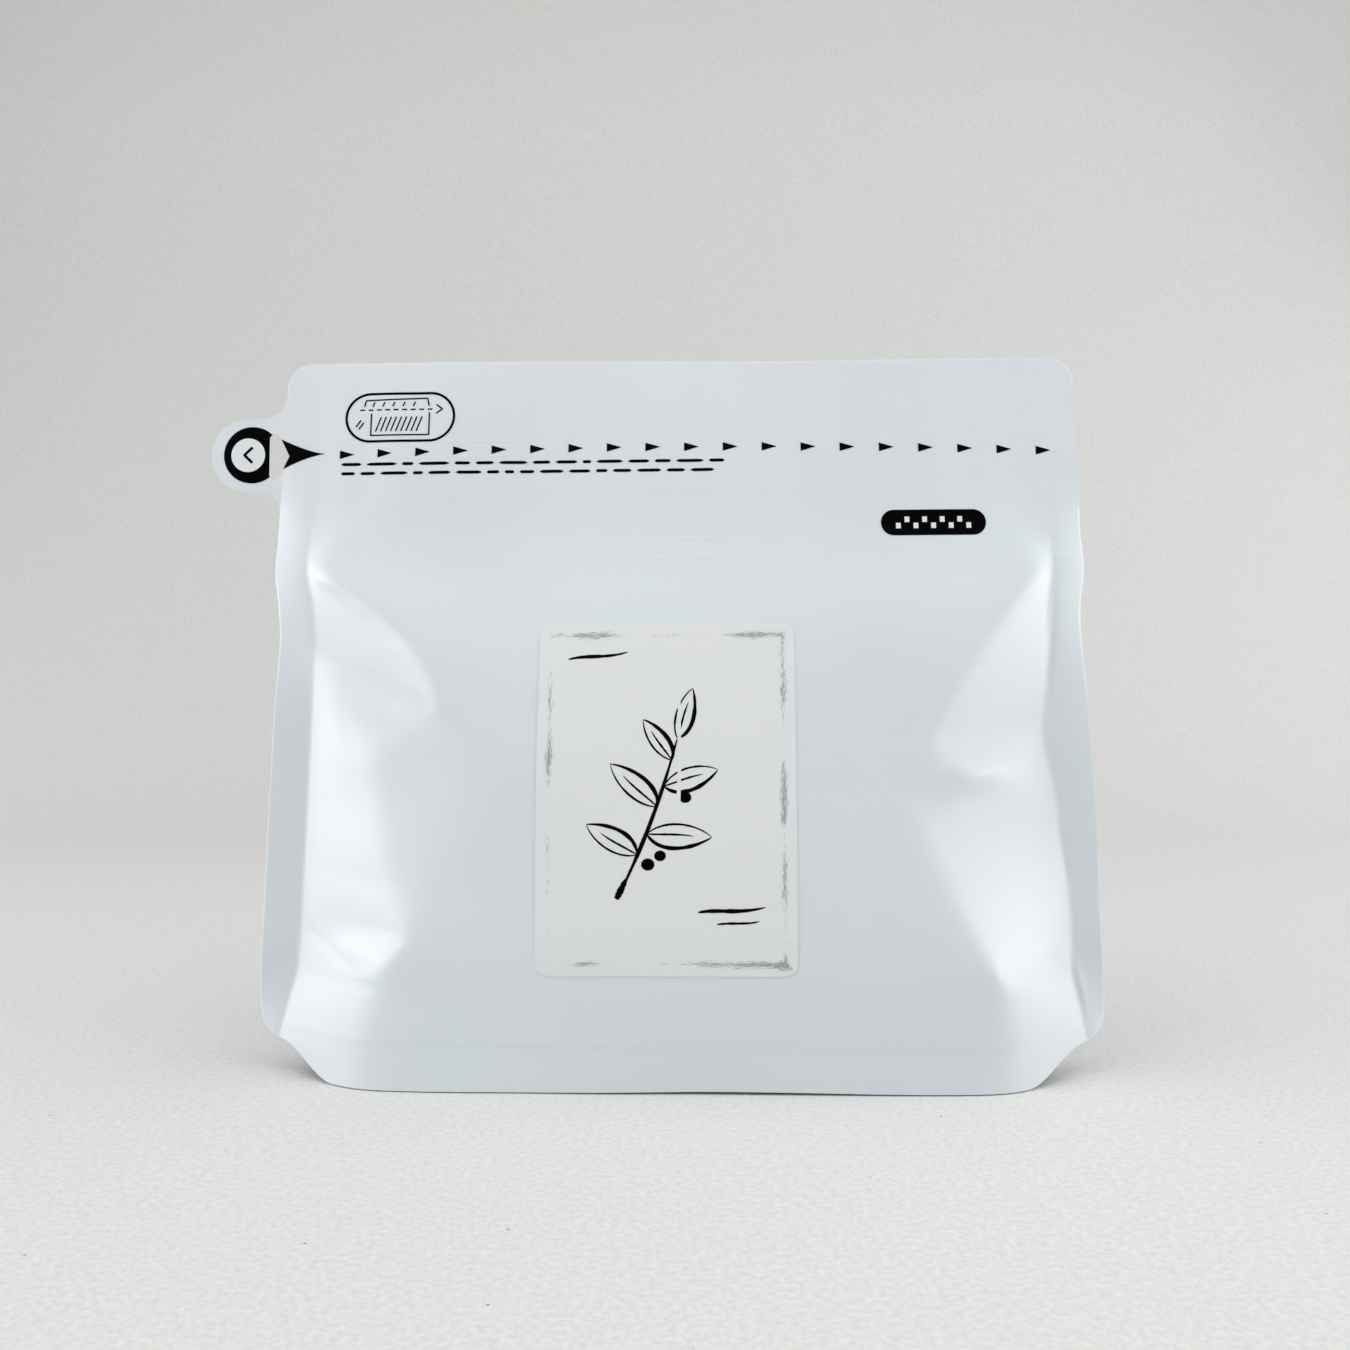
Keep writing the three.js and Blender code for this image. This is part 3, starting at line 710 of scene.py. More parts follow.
def punchWindow(piece):
    # cuts the window out of a piece and takes the punch away again
    cutter = windowPunch()
    cut = piece.modifiers.new("window", "BOOLEAN")
    cut.object, cut.operation, cut.solver = cutter, "DIFFERENCE", "EXACT"
    bpy.context.view_layer.update()
    graph = bpy.context.evaluated_depsgraph_get()
    done = bpy.data.meshes.new_from_object(piece.evaluated_get(graph))
    piece.modifiers.clear()
    old, piece.data = piece.data, done
    bpy.data.meshes.remove(old)
    bpy.data.objects.remove(cutter)
    piece.data.materials.clear()


gusset = {"grooveHeight": 7.5, "flatShare": 0.5, "flatHalfLength": 46, "archHalfLength": 66,
          "archRise": 9, "closesAt": 76.3, "rows": 26,
          "reach": 0.98,  # the share of the half depth from seal to seal that the rows span
          "skirtThick": 0.45, "settle": 0.99}  # how much of the gap under the seals it sinks


def undersidePoints(frontEdge, backEdge):
    # rows from the front edge to the back one: the bottom seals stand as skirts, the gusset sags
    # to the floor between them, and towards the ears it folds up into an arch
    x, low = frontEdge[:, 0], frontEdge[:, 2]
    gap = backEdge[:, 1] - frontEdge[:, 1]
    wall = np.minimum(gusset["skirtThick"], gap / 5)  # thinner where the panels are close
    opening = 1 - smoothStep(gusset["archHalfLength"], gusset["closesAt"], fromMiddle(x))
    arch = smoothStep(gusset["flatHalfLength"], gusset["archHalfLength"], fromMiddle(x))
    middle = (frontEdge[:, 1] + backEdge[:, 1]) / 2
    q = np.linspace(-gusset["reach"], gusset["reach"], gusset["rows"])[:, None] * np.ones(len(x))
    ends = [0, -1]  # there every row runs into one of the two corners, which closes the fold
    q[:, ends], wall[ends] = np.sign(q[:, ends]), 0
    sag = gusset["grooveHeight"] * smoothStep(gusset["flatShare"], 1, np.abs(q))
    fold = gusset["archRise"] * (1 - np.abs(q)) + gusset["grooveHeight"] / 2
    y = middle + q * (gap / 2 - wall)
    flat = 1 - smoothStep(gusset["flatShare"], 1, np.abs(q))
    drop = gusset["settle"] * skirtGap(x - pouch["centreX"]) * flat
    z = low + opening * ((sag - drop) * (1 - arch) + fold * arch)
    inner = np.stack([np.broadcast_to(x, z.shape), y, z], -1)
    rim = np.stack([x, frontEdge[:, 1] + wall, low], -1)[None]
    backRim = np.stack([x, backEdge[:, 1] - wall, low], -1)[None]
    return np.concatenate([rim, inner, backRim])


def buildPouch():
    # two panels on one grid of columns and rows, joined by thin walls at the sides and the top
    # and by the gusset at the bottom
    across = crowded(pouch["columns"])
    last = pouch["lastRows"]
    share = np.append(np.linspace(0, pouch["evenRowsTo"], pouch["rows"] - len(last)), last)
    share = share[:, None]
    low = bottomEdgeZ(across * pouch["earHalfWidth"])
    high = topEdgeZ(across * pouch["topHalfWidth"])
    z = low + (high - low) * share
    x = pouch["centreX"] + across * halfWidth(across, z)
    front = np.stack([x, frontY(x, z), z], -1)
    back = np.stack([x, backY(x, z), z], -1)
    underside = undersidePoints(front[0], back[0])

    leftZ = z[:, 0]
    reach = tab["radius"] + tab["fillet"]
    beside = np.nonzero(np.abs(leftZ - tab["centreZ"]) < reach)[0]
    beside = np.arange(beside[0] - 1, beside[-1] + 2)
    side = x[beside, 0]
    edge = np.minimum(tabEdgeX(side, leftZ[beside]), side)
    step = np.linspace(0, 1, tab["columns"], endpoint=False)
    tabX = edge[:, None] + (side - edge)[:, None] * step
    tabZ = np.broadcast_to(leftZ[beside][:, None], tabX.shape)
    tabFront = np.stack([tabX, frontY(tabX, tabZ), tabZ], -1)
    tabBack = np.stack([tabX, backY(tabX, tabZ), tabZ], -1)

    parts = [front, back, underside, tabFront, tabBack]
    starts = np.cumsum([0] + [part[..., 0].size for part in parts])
    index = [np.arange(part[..., 0].size).reshape(part.shape[:2]) + start
             for part, start in zip(parts, starts)]
    frontIndex, backIndex, underIndex, tabFrontIndex, tabBackIndex = index
    tabFrontIndex = np.concatenate([tabFrontIndex, frontIndex[beside, :1]], 1)
    tabBackIndex = np.concatenate([tabBackIndex, backIndex[beside, :1]], 1)
    underIndex = np.concatenate([frontIndex[:1], underIndex, backIndex[:1]])
    leftFront = frontIndex[:, 0].copy()
    leftBack = backIndex[:, 0].copy()
    leftFront[beside] = tabFrontIndex[:, 0]
    leftBack[beside] = tabBackIndex[:, 0]
    quads = np.concatenate([
        gridQuads(frontIndex),
        gridQuads(backIndex, flip=True),
        gridQuads(np.stack([frontIndex[-1], backIndex[-1]])),
        gridQuads(np.stack([frontIndex[:, -1], backIndex[:, -1]]), flip=True),
        gridQuads(underIndex, flip=True),
        gridQuads(tabFrontIndex),
        gridQuads(tabBackIndex, flip=True),
        gridQuads(np.stack([leftFront, leftBack])),
    ])
    points = np.concatenate([part.reshape(-1, 3) for part in parts])
    piece = makePiece("pouch_film", points, quads, filmFinish, pouch["sharpAngle"],
                      mergeAt=pouch["mergeAt"])
    punchWindow(piece)
    piece.data.materials.append(filmFinish)
    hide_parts("pouch")
    return piece


pouchPiece = buildPouch()
print("pouch made:", len(pouchPiece.data.polygons), "faces")


# Thin things that lie on the front: a closed slab over a grid of x and z, whose back and front
# follow the film at two small heights above it

def slabOnFilm(x, z, lift, thick):
    film = frontY(x, z)
    outer = np.stack([x, film - lift - thick, z], -1)
    inner = np.stack([x, film - lift, z], -1)
    outerIndex = np.arange(x.size).reshape(x.shape)
    innerIndex = outerIndex + x.size
    quads = np.concatenate([
        gridQuads(outerIndex),
        gridQuads(innerIndex, flip=True),
        gridQuads(np.stack([outerIndex[-1], innerIndex[-1]])),
        gridQuads(np.stack([outerIndex[0], innerIndex[0]]), flip=True),
        gridQuads(np.stack([outerIndex[:, -1], innerIndex[:, -1]]), flip=True),
        gridQuads(np.stack([outerIndex[:, 0], innerIndex[:, 0]])),
    ])
    return np.concatenate([outer.reshape(-1, 3), inner.reshape(-1, 3)]), quads


def joinSlabs(slabs):
    # many slabs as the points and faces of one piece
    starts = np.cumsum([0] + [len(points) for points, _ in slabs])
    points = np.concatenate([points for points, _ in slabs])
    quads = np.concatenate([quads + start for (_, quads), start in zip(slabs, starts)])
    return points, quads


# How high the print stands on the film. No outline closes to a point: at its ends it is still
# twice a hair high, and an arrow's tip is twice a tip wide.
filmPrint = {"lift": 0.03, "thick": 0.03, "hair": 0.01, "tip": 0.03}


def bandSlab(x, lowZ, highZ, rows, lift=None, thick=None):
    # a slab between two outlines over the same row of x values: each z is the lower outline plus a
    # share of the way to the upper one
    share = np.linspace(0, 1, rows)[:, None]
    z = lowZ + (highZ - lowZ) * share
    return slabOnFilm(np.broadcast_to(x, z.shape), z, lift or filmPrint["lift"],
                      thick or filmPrint["thick"])


def strokeSlab(xs, zs, widths, lift, thick=None, across=3):
    # a ribbon carried along a path: each point of the path plus a share of the width there, from
    # minus a half to a half, along the direction that crosses the path
    points = np.stack([xs, zs], -1)
    along = np.gradient(points, axis=0)
    along /= np.linalg.norm(along, axis=1)[:, None] + 1e-9
    normal = np.stack([-along[:, 1], along[:, 0]], -1)
    share = np.linspace(-0.5, 0.5, across)[:, None, None]
    grid = points[None] + normal[None] * widths[None, :, None] * share
    return slabOnFilm(grid[..., 0], grid[..., 1], lift, thick or filmPrint["thick"])


# The tear line: a row of small arrowheads that point away from the tab, on a shallow arc
tearArrows = {"firstX": -69.0, "lastX": 73.9, "count": 19, "length": 2.9, "height": 1.7, "steps": 5,
              "topX": -10, "topZ": 123.85, "sag": 1.55, "sagReach": 82}


def buildArrows():
    # each arrow's half height falls in a straight line from its base to its tip, and the row lies
    # on a parabola that is highest at topX
    a = tearArrows
    slabs = []
    for baseX in np.linspace(a["firstX"], a["lastX"] - a["length"], a["count"]):
        u = np.linspace(0, 1, a["steps"])
        half = a["height"] / 2 * (1 - u) + filmPrint["tip"]
        z = a["topZ"] - a["sag"] * ((baseX - a["topX"]) / a["sagReach"]) ** 2
        slabs.append(bandSlab(baseX + u * a["length"], z - half, z + half, 3))
    points, quads = joinSlabs(slabs)
    return makePiece("tear_line_arrows", points, quads, inkFinish)


# The mark on the tab: a black drop whose tail points along the tear line, a white disc on it,
# and a small chevron on the disc
tabMark = {"centreX": -87.4, "centreZ": 123.3, "radius": 5.8, "tailTip": -72.3,
           "tailFrom": 0.25 * math.pi,  # where on the circle the tail begins, up from its right
           "tailPower": 1.4, "discX": -88.2, "discRadius": 3.45,
           "chevron": [(0.9, 1.6), (-0.75, 0), (0.9, -1.6)], "chevronWidth": 0.55,
           "roundSteps": 30, "tailSteps": 24, "discSteps": 33, "chevronSteps": 21}


def buildTabMark():
    # the drop's half height follows a circle up to its tail, and then falls by a power of the share
    # of the tail that is left; the disc's follows a half circle
    m = tabMark
    turn = np.linspace(math.pi, m["tailFrom"], m["roundSteps"])
    roundX = m["centreX"] + m["radius"] * np.cos(turn)
    roundHalf = m["radius"] * np.sin(turn)
    u = np.linspace(0, 1, m["tailSteps"])[1:]
    tailX = roundX[-1] + (m["tailTip"] - roundX[-1]) * u
    tailHalf = roundHalf[-1] * (1 - u) ** m["tailPower"] + filmPrint["tip"]
    x = np.concatenate([roundX, tailX])
    half = np.concatenate([roundHalf, tailHalf]) + filmPrint["hair"]
    points, quads = bandSlab(x, m["centreZ"] - half, m["centreZ"] + half, 9)
    drop = makePiece("tab_drop", points, quads, inkFinish)
    punchWindow(drop)
    drop.data.materials.append(inkFinish)
    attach(drop, "root")
    turn = np.linspace(math.pi, 0, m["discSteps"])
    half = m["discRadius"] * np.sin(turn) + filmPrint["hair"]
    lift = filmPrint["lift"] + filmPrint["thick"]
    points, quads = bandSlab(m["discX"] + m["discRadius"] * np.cos(turn),
                             m["centreZ"] - half, m["centreZ"] + half, 7, lift)
    makePiece("tab_disc", points, quads, whiteInkFinish)
    corners = np.array(m["chevron"]) + (m["discX"], m["centreZ"])
    along = np.linspace(0, 2, m["chevronSteps"])
    points, quads = strokeSlab(np.interp(along, [0, 1, 2], corners[:, 0]),
                               np.interp(along, [0, 1, 2], corners[:, 1]),
                               np.full(len(along), m["chevronWidth"]), lift + filmPrint["thick"])
    makePiece("tab_chevron", points, quads, inkFinish)


# The dark pill at the zipper's end, with a row of zipper teeth in white
pill = {"left": 39.9, "right": 60.5, "low": 105.4, "high": 110.5, "steps": 14,
        "teeth": 9, "toothSize": (0.95, 1.1), "teethInset": 3.4,  # from the pill's ends
        "toothShift": 0.62}  # up and down by turns


def buildPill():
    # the half height rises on a quarter circle, stays level and falls on a quarter circle
    radius = (pill["high"] - pill["low"]) / 2
    middle = (pill["high"] + pill["low"]) / 2
    turn = np.linspace(0, math.pi / 2, pill["steps"])
    left = pill["left"] + radius - radius * np.cos(turn)
    right = pill["right"] - radius + radius * np.cos(turn[::-1])
    straight = np.linspace(left[-1], right[0], pill["steps"])[1:-1]
    x = np.concatenate([left, straight, right])
    half = np.concatenate([radius * np.sin(turn), np.full(len(straight), radius),
                           radius * np.sin(turn[::-1])]) + filmPrint["hair"]
    points, quads = bandSlab(x, middle - half, middle + half, 7)
    makePiece("zipper_pill", points, quads, inkFinish)
    width, height = pill["toothSize"]
    lift = filmPrint["lift"] + filmPrint["thick"]
    slabs = []
    across = np.linspace(-width / 2, width / 2, 5)
    half = np.full(len(across), height / 2)
    first, last = pill["left"] + pill["teethInset"], pill["right"] - pill["teethInset"]
    for i, x in enumerate(np.linspace(first, last, pill["teeth"])):
        z = middle + (pill["toothShift"] if i % 2 else -pill["toothShift"])
        slabs.append(bandSlab(x + across, z - half, z + half, 3, lift))
    points, quads = joinSlabs(slabs)
    makePiece("zipper_teeth", points, quads, whiteInkFinish)


# The note line under the arrows: two rows of fine bars
noteLine = {"left": -68.6, "right": 9.4, "rows": [(121.0, 1), (119.1, 2)], "height": 0.62,
            "shortest": 1.6, "longest": 6.5, "gap": 1.1, "endHalf": 0.0632, "steps": 9}


def buildNoteLine():
    # bars of random length, each with an end's half height on a quarter circle
    n = noteLine
    slabs = []
    for z, seed in n["rows"]:
        draw = np.random.default_rng(seed)
        x = n["left"]
        while x < n["right"] - n["shortest"]:
            end = min(x + draw.uniform(n["shortest"], n["longest"]), n["right"])
            xs = np.linspace(x, end, n["steps"])
            radius = n["height"] / 2
            toEnd = np.minimum(xs - x, end - xs)
            half = np.sqrt(np.clip(radius ** 2 - np.clip(radius - toEnd, 0, None) ** 2,
                                   n["endHalf"] ** 2, None))
            slabs.append(bandSlab(xs, z - half, z + half, 3))
            x = end + n["gap"]
    points, quads = joinSlabs(slabs)
    makePiece("note_line", points, quads, inkFinish)


# The outlined sign over the tear line: a small pouch whose corner is torn along a dashed line
sign = {
    "left": -68.2, "right": -45.5, "low": 125.5, "high": 135.9, "line": 0.5, "thin": 0.28,
    "over": 0.002,  # how much higher the thin lines stand, so that no two faces meet in one plane
    "endSteps": 30, "runSteps": 24, "lineSteps": 8,
    # lines from point to point, millimetres from the middle of the sign's lower edge
    "pouch": [[(-6, 1.5), (-6, 6.1)], [(6, 6.1), (6, 1.5)], [(-6.15, 1.5), (6.15, 1.5)],
              [(-7.2, 8.8), (5.5, 9.1)], [(-7.5, 7.5), (-7.2, 8.8)], [(5.9, 7.5), (5.5, 9.1)]],
    "arrow": [[(7.4, 7.7), (8.7, 6.8), (7.4, 5.9)], [(-9.1, 3.3), (-8.1, 4.7)],
              [(-8.5, 2.8), (-7.5, 4.2)]],
    # rows of like short lines: from x, to x, step, from z to z, and how far each one runs in x
    "rows": [(-8.4, 6.4, 1.75, 6.8, 6.8, 1.0),  # the dashed tear line
             (-5.0, 4.4, 1.05, 2.3, 5.3, 1.1),  # the shading of the body
             (-5.8, 4.6, 2.1, 7.5, 8.4, 0.4)],  # and of the strip
}


def loopPath(p, inset):
    # once round a pill: a half circle, a straight line, a half circle and a straight line
    radius = (p["high"] - p["low"]) / 2 - inset
    middle = (p["high"] + p["low"]) / 2
    turn = np.linspace(-math.pi / 2, math.pi / 2, p["endSteps"])
    rightX = p["right"] - inset - radius + radius * np.cos(turn)
    leftX = p["left"] + inset + radius - radius * np.cos(turn)
    rightZ = middle + radius * np.sin(turn)
    leftZ = middle - radius * np.sin(turn)
    run = np.linspace(0, 1, p["runSteps"])[1:-1]
    topX = rightX[-1] + (leftX[0] - rightX[-1]) * run
    lowX = leftX[-1] + (rightX[0] - leftX[-1]) * run
    x = np.concatenate([rightX, topX, leftX, lowX, rightX[:2]])
    z = np.concatenate([rightZ, np.full(len(run), rightZ[-1]), leftZ, np.full(len(run), leftZ[-1]),
                        rightZ[:2]])
    return x, z


def buildSign():
    # a ribbon round the sign, and thin ribbons along straight lines in it
    s = sign
    x, z = loopPath(s, s["line"] / 2)
    slabs = [strokeSlab(x, z, np.full(len(x), s["line"]), filmPrint["lift"])]
    centre = (s["left"] + s["right"]) / 2

    def line(points):
        points = np.array(points, float)
        along = np.linspace(0, len(points) - 1, s["lineSteps"] * (len(points) - 1) + 1)
        xs = np.interp(along, np.arange(len(points)), points[:, 0]) + centre
        zs = np.interp(along, np.arange(len(points)), points[:, 1]) + s["low"]
        slabs.append(strokeSlab(xs, zs, np.full(len(xs), s["thin"]), filmPrint["lift"] + s["over"]))

    for ends in s["pouch"] + s["arrow"]:
        line(ends)
    for first, last, step, lowZ, highZ, run in s["rows"]:
        for start in np.arange(first, last, step):
            line([(start, lowZ), (start + run, highZ)])
    points, quads = joinSlabs(slabs)
    makePiece("tear_sign", points, quads, inkFinish)


buildArrows()
buildTabMark()
buildPill()
buildNoteLine()
buildSign()
print("print on the film made")


# The label, 49 mm by 66, with round corners
label = {"centreX": -2.1, "low": 22.7, "high": 88.4, "width": 49, "radius": 2.6,
         "lift": 0.02, "thick": 0.16, "inkGap": 0.005, "columns": 60, "rows": 70}
labelMiddleZ = (label["low"] + label["high"]) / 2
inkLift = label["lift"] + label["thick"] + label["inkGap"]


def buildLabel():
    # between two straight lines, which at the ends turn in on quarter circles
    half, radius = label["width"] / 2, label["radius"]
    across = crowded(label["columns"]) * half
    past = np.clip(np.abs(across) - (half - radius), 0, radius)
    inset = radius - np.sqrt(radius ** 2 - past ** 2)
    x = label["centreX"] + across
    points, quads = bandSlab(x, label["low"] + inset, label["high"] - inset, label["rows"],
                             label["lift"], label["thick"])
    piece = makePiece("front_label", points, quads, labelPaperMaterial())
    corners = np.empty(len(piece.data.loops), dtype=np.int32)
    piece.data.loops.foreach_get("vertex_index", corners)
    flat = (points[:, [0, 2]] - (label["centreX"], labelMiddleZ)) / 10
    place = piece.data.uv_layers.new(name="labelPlace")
    place.data.foreach_set("uv", flat[corners].astype(np.float32).ravel())
    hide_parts("label")


# The drawing on the label, in brushed ink: a coffee sprig with leaves and cherries, and a few loose
# lines. Millimetres from the label's middle; a leaf is its two ends and how far its sides swell.
sprig = {
    "stem": [((-8.6, -17.5), (-5, -10), (-1.4, -2), (2.2, 11.5), 0.7),
             ((-9.3, -18.6), (-8.8, -17.6), (-8.2, -16.4), (-7.4, -14.8), 1.2)],
    "leaves": [((-5.4, -10.4), (-15, -4.8), 2.3), ((-3.6, -6.6), (8.6, -7.2), 2.5),
               ((-1.6, -1.6), (-10.6, 6.4), 2.3), ((-0.4, 2.2), (9.8, 5.2), 2.3),
               ((1.1, 7), (-4.4, 14.6), 1.8), ((2.1, 11), (5, 20.4), 1.9)],
    "cherries": [(-3.4, -12.2, 1.25), (-1.1, -10.6, 1.1), (3.6, 0.1, 1.15)],
    "lines": [((6, -21), (9.5, -20.2), (13, -21.4), (18.6, -20), 0.75),
              ((9.5, -23.2), (12, -22.7), (14.6, -23.3), (17.4, -22.6), 0.4),
              ((-19, 26), (-15.5, 27), (-12, 26), (-7.5, 27.4), 0.6)],
    "thick": 0.78, "thin": 0.34,  # the brush on a leaf's lower and upper side, mm wide
    # the less it is, the longer a stroke keeps its full width
    "stemPress": 0.35, "leafPress": 0.6, "linePress": 0.45,
    "pressPower": 0.8,  # below 1, so that a stroke is widest before its middle
    "unevenLow": 0.78, "unevenHigh": 1.15, "bristleWidth": 0.06, "cherrySquash": 0.88,
    "strokeSteps": 40, "bristleMarks": 14, "cherrySteps": 22,
    # the inner points of a leaf's curves: the share of the way along it, and how many times its
    # swell to the side
    "lower": [(0.2, -1.5), (0.7, -1)], "upper": [(0.25, 1.2), (0.75, 1)],
    "vein": [(0.25, 0), (0.5, 0.15), (0.72, 0)],
}


def brushStroke(stroke, seed, press):
    # a cubic curve through its four points, as wide as the brush is pressed: thin where it starts
    # and ends, with the slight unevenness of bristles
    p0, p1, p2, p3 = (np.array(p) for p in stroke[:4])
    t = np.linspace(0, 1, sprig["strokeSteps"])[:, None]
    path = ((1 - t) ** 3 * p0 + 3 * (1 - t) ** 2 * t * p1 + 3 * (1 - t) * t ** 2 * p2 + t ** 3 * p3)
    draw = np.random.default_rng(seed)
    marks = np.linspace(0, 1, sprig["bristleMarks"])
    uneven = draw.uniform(sprig["unevenLow"], sprig["unevenHigh"], len(marks))
    uneven = np.interp(t[:, 0], marks, uneven)
    swell = np.clip(np.sin(math.pi * t[:, 0] ** sprig["pressPower"]), 0, 1) ** press
    widths = stroke[4] * swell * uneven + sprig["bristleWidth"]
    return strokeSlab(path[:, 0] + label["centreX"], path[:, 1] + labelMiddleZ, widths, inkLift)


def leafStrokes(base, tip, swell):
    # the two sides of a leaf and its vein, as cubic curves from its base to its tip
    base, tip = np.array(base), np.array(tip)
    along = tip - base
    aside = np.array([-along[1], along[0]]) / np.hypot(*along) * swell

    def inner(name):
        return [base + ahead * along + out * aside for ahead, out in sprig[name]]

    return [(base, *inner("lower"), tip, sprig["thick"]),
            (base, *inner("upper"), tip, sprig["thin"]),
            (base, *inner("vein"), sprig["thin"])]


def buildSprig():
    # brush strokes, and cherries whose half heights follow a half circle
    strokes = [(stroke, sprig["stemPress"]) for stroke in sprig["stem"]]
    strokes += [(stroke, sprig["leafPress"])
                for leaf in sprig["leaves"] for stroke in leafStrokes(*leaf)]
    strokes += [(stroke, sprig["linePress"]) for stroke in sprig["lines"]]
    slabs = [brushStroke(stroke, seed, press) for seed, (stroke, press) in enumerate(strokes)]
    for x, z, radius in sprig["cherries"]:
        turn = np.linspace(math.pi, 0, sprig["cherrySteps"])
        half = sprig["cherrySquash"] * radius * np.sin(turn) + filmPrint["hair"]
        slabs.append(bandSlab(x + label["centreX"] + radius * np.cos(turn),
                              z + labelMiddleZ - half, z + labelMiddleZ + half, 5, inkLift))
    points, quads = joinSlabs(slabs)
    makePiece("label_sprig", points, quads, inkFinish)


buildLabel()
buildSprig()
print("label made")


# The camera looks at the front from a little right of the middle and slightly down
camera = {"place": (10.9, -274.0, 88.75), "down": 2.175, "yaw": 2.42, "roll": -0.386,
          "focalPixels": 1410.0, "framePixels": 1350.0, "sensor": 36.0,
          "nearest": 0.01, "farthest": 20}  # metres


def setCamera():
    data = bpy.data.cameras.new("camera")
    data.sensor_width = camera["sensor"]
    data.lens = camera["sensor"] * camera["focalPixels"] / camera["framePixels"]
    data.clip_start = camera["nearest"]
    data.clip_end = camera["farthest"]
    item = bpy.data.objects.new("camera", data)
    bpy.context.scene.collection.objects.link(item)
    turn = (Matrix.Rotation(math.radians(camera["yaw"]), 4, "Z")
            @ Matrix.Rotation(math.radians(90 - camera["down"]), 4, "X")
            @ Matrix.Rotation(math.radians(camera["roll"]), 4, "Z"))
    item.matrix_world = Matrix.Translation(Vector(camera["place"]) * mm) @ turn
    bpy.context.scene.camera = item


# Pale studio: a paper sweep that curves up behind the bag, with a fine grain and a few dark specks
sweep = {"halfWidth": 1.6, "front": -1.0, "back": 0.3, "radius": 0.45, "top": 1.5,
         "colour": "#E8E8E6", "grainColour": "#DCDCD9", "speckColour": "#9C9A96",
         "roughness": 0.9, "shine": 0.2,
         "grainSize": 1.1, "grainDepth": 0.2, "speckEvery": 11, "speckSize": 0.35,  # mm
         "grainStrength": 0.2, "grainLow": 0.35, "grainHigh": 0.68,
         "floorSteps": 12, "curveSteps": 24, "wallSteps": 8, "columns": 20}


def buildSweep():
    # a floor line, a quarter circle and a wall line, carried along x
    turn = np.linspace(0, math.pi / 2, sweep["curveSteps"])
    floorY = np.linspace(sweep["front"], sweep["back"], sweep["floorSteps"])
    arcY = sweep["back"] + sweep["radius"] * np.sin(turn)
    arcZ = sweep["radius"] * (1 - np.cos(turn))
    wallZ = np.linspace(sweep["radius"], sweep["top"], sweep["wallSteps"])[1:]
    y = np.concatenate([floorY, arcY[1:], np.full(len(wallZ), arcY[-1])])
    z = np.concatenate([np.zeros(len(floorY)), arcZ[1:], wallZ])
    x = np.linspace(-sweep["halfWidth"], sweep["halfWidth"], sweep["columns"])
    points = np.stack(np.broadcast_arrays(x, y[:, None], z[:, None]), -1)
    material, tree = newMaterial("matt_backdrop_paper")
    place = addNode(tree, "TexCoord").outputs["Object"]
    grain = addNode(tree, "TexNoise", {"Scale": 1 / (sweep["grainSize"] * mm), "Detail": 3.0},
                    {"Vector": place})
    bump = addNode(tree, "Bump",
                   {"Strength": sweep["grainStrength"], "Distance": sweep["grainDepth"] * mm},
                   {"Height": grain.outputs["Fac"]})
    darker = addNode(tree, "MapRange",
                     {"From Min": sweep["grainLow"], "From Max": sweep["grainHigh"]},
                     {0: grain.outputs["Fac"]})
    colour = addNode(tree, "Mix", {"data_type": "RGBA", 6: linearColour(sweep["colour"]),
                                   7: linearColour(sweep["grainColour"])}, {0: darker.outputs[0]})
    # specks: a small dark dot where a cell's own point lies on the paper
    cells = addNode(tree, "TexVoronoi", {"Scale": 1 / (sweep["speckEvery"] * mm)},
                    {"Vector": place})
    reach = sweep["speckSize"] / sweep["speckEvery"]
    dot = addNode(tree, "MapRange", {"From Min": reach, "From Max": reach / 2},
                  {0: cells.outputs["Distance"]})
    speckled = addNode(tree, "Mix", {"data_type": "RGBA", 7: linearColour(sweep["speckColour"])},
                       {0: dot.outputs[0], 6: colour.outputs[2]})
    shader = addNode(tree, "BsdfPrincipled",
                     {"Roughness": sweep["roughness"], "Specular IOR Level": sweep["shine"]},
                     {"Base Color": speckled.outputs[2], "Normal": bump.outputs["Normal"]})
    addNode(tree, "OutputMaterial", {}, {"Surface": shader.outputs["BSDF"]})
    mesh = bpy.data.meshes.new("sweep")
    mesh.from_pydata(points.reshape(-1, 3).tolist(), [],
                     gridQuads(np.arange(points[..., 0].size).reshape(points.shape[:2])).tolist())
    mesh.shade_smooth()
    mesh.materials.append(material)
    item = bpy.data.objects.new("sweep", mesh)
    bpy.context.scene.collection.objects.link(item)


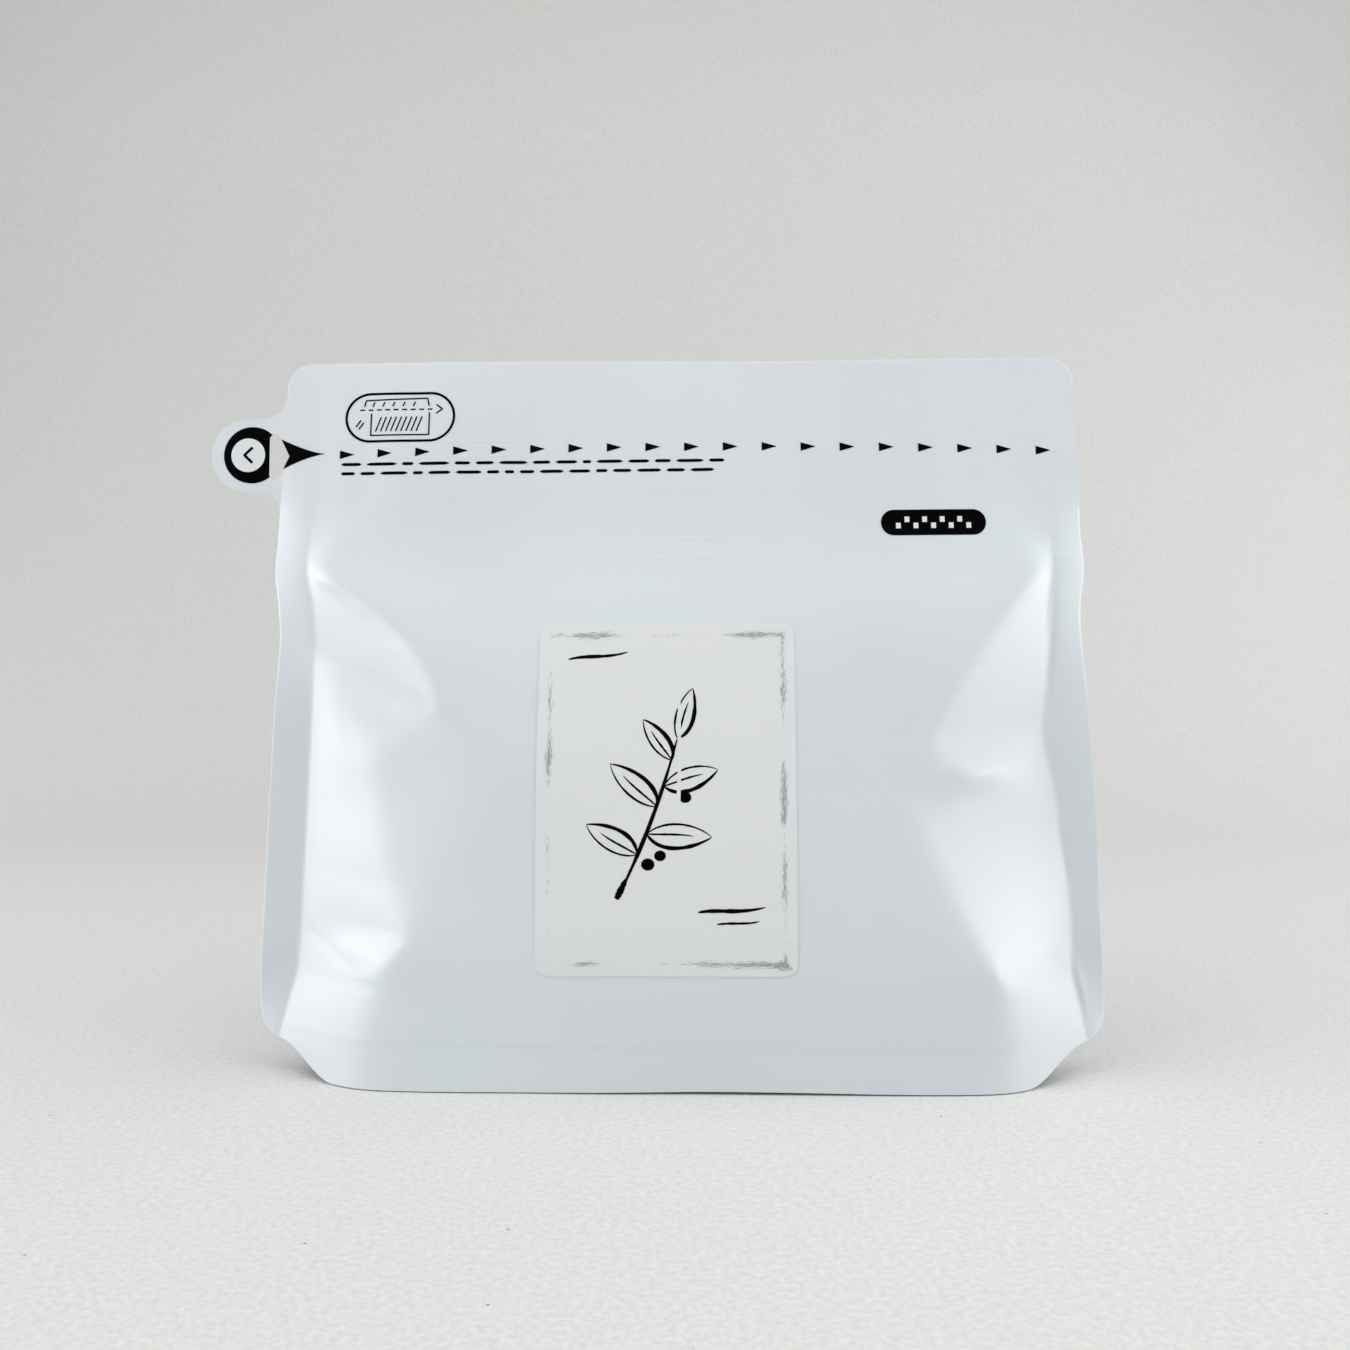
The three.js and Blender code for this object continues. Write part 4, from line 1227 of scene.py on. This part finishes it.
# Soft lights: a square one, a low strip and a weaker one farther round on each side of the bag, and
# two overhead. Places and sizes are metres, powers watts, and "aim" is the point they face.
lamps = [
    {"name": "left", "place": (-0.85, -0.10, 0.30), "aim": (0, 0, 0.06),
     "size": (0.8, 0.8), "power": 2.06},
    {"name": "leftFront", "place": (-0.75, -0.55, 0.45), "aim": (0, 0, 0.06),
     "size": (0.7, 0.7), "power": 1.02},
    {"name": "leftLow", "place": (-0.7, -0.15, 0.12), "aim": (0, 0, 0.05),
     "size": (0.5, 0.24), "power": 1.7},
    {"name": "right", "place": (0.85, -0.10, 0.30), "aim": (0, 0, 0.06),
     "size": (0.8, 0.8), "power": 3.5},
    {"name": "rightBack", "place": (0.6, 0.35, 0.5), "aim": (0, 0, 0.06),
     "size": (0.6, 0.6), "power": 0.7},
    {"name": "rightLow", "place": (0.7, -0.15, 0.12), "aim": (0, 0, 0.05),
     "size": (0.5, 0.24), "power": 1.3},
    {"name": "overhead", "place": (0, 0, 1.3), "aim": (0, 0, 0),
     "size": (1.6, 1.6), "power": 2.33},
    {"name": "overNear", "place": (0, -0.3, 0.7), "aim": (0, -0.2, 0),
     "size": (0.8, 0.5), "power": 2.12},
]
sky = {"colour": "#F1F3F6", "level": 0.215}  # the pale room all round


def setLamps():
    for lamp in lamps:
        data = bpy.data.lights.new(lamp["name"], "AREA")
        data.shape = "RECTANGLE"
        data.size, data.size_y = lamp["size"]
        data.energy = lamp["power"]
        item = bpy.data.objects.new(lamp["name"], data)
        bpy.context.scene.collection.objects.link(item)
        place = Vector(lamp["place"])
        item.location = place
        item.rotation_euler = (Vector(lamp["aim"]) - place).to_track_quat("-Z", "Y").to_euler()
    world = bpy.data.worlds.new("studio")
    world.use_nodes = True
    background = world.node_tree.nodes["Background"]
    background.inputs["Color"].default_value = linearColour(sky["colour"])
    background.inputs["Strength"].default_value = sky["level"]
    bpy.context.scene.world = world
    bpy.context.scene.view_settings.view_transform = "Standard"


setCamera()
buildSweep()
setLamps()
print("camera, sweep and lamps set")
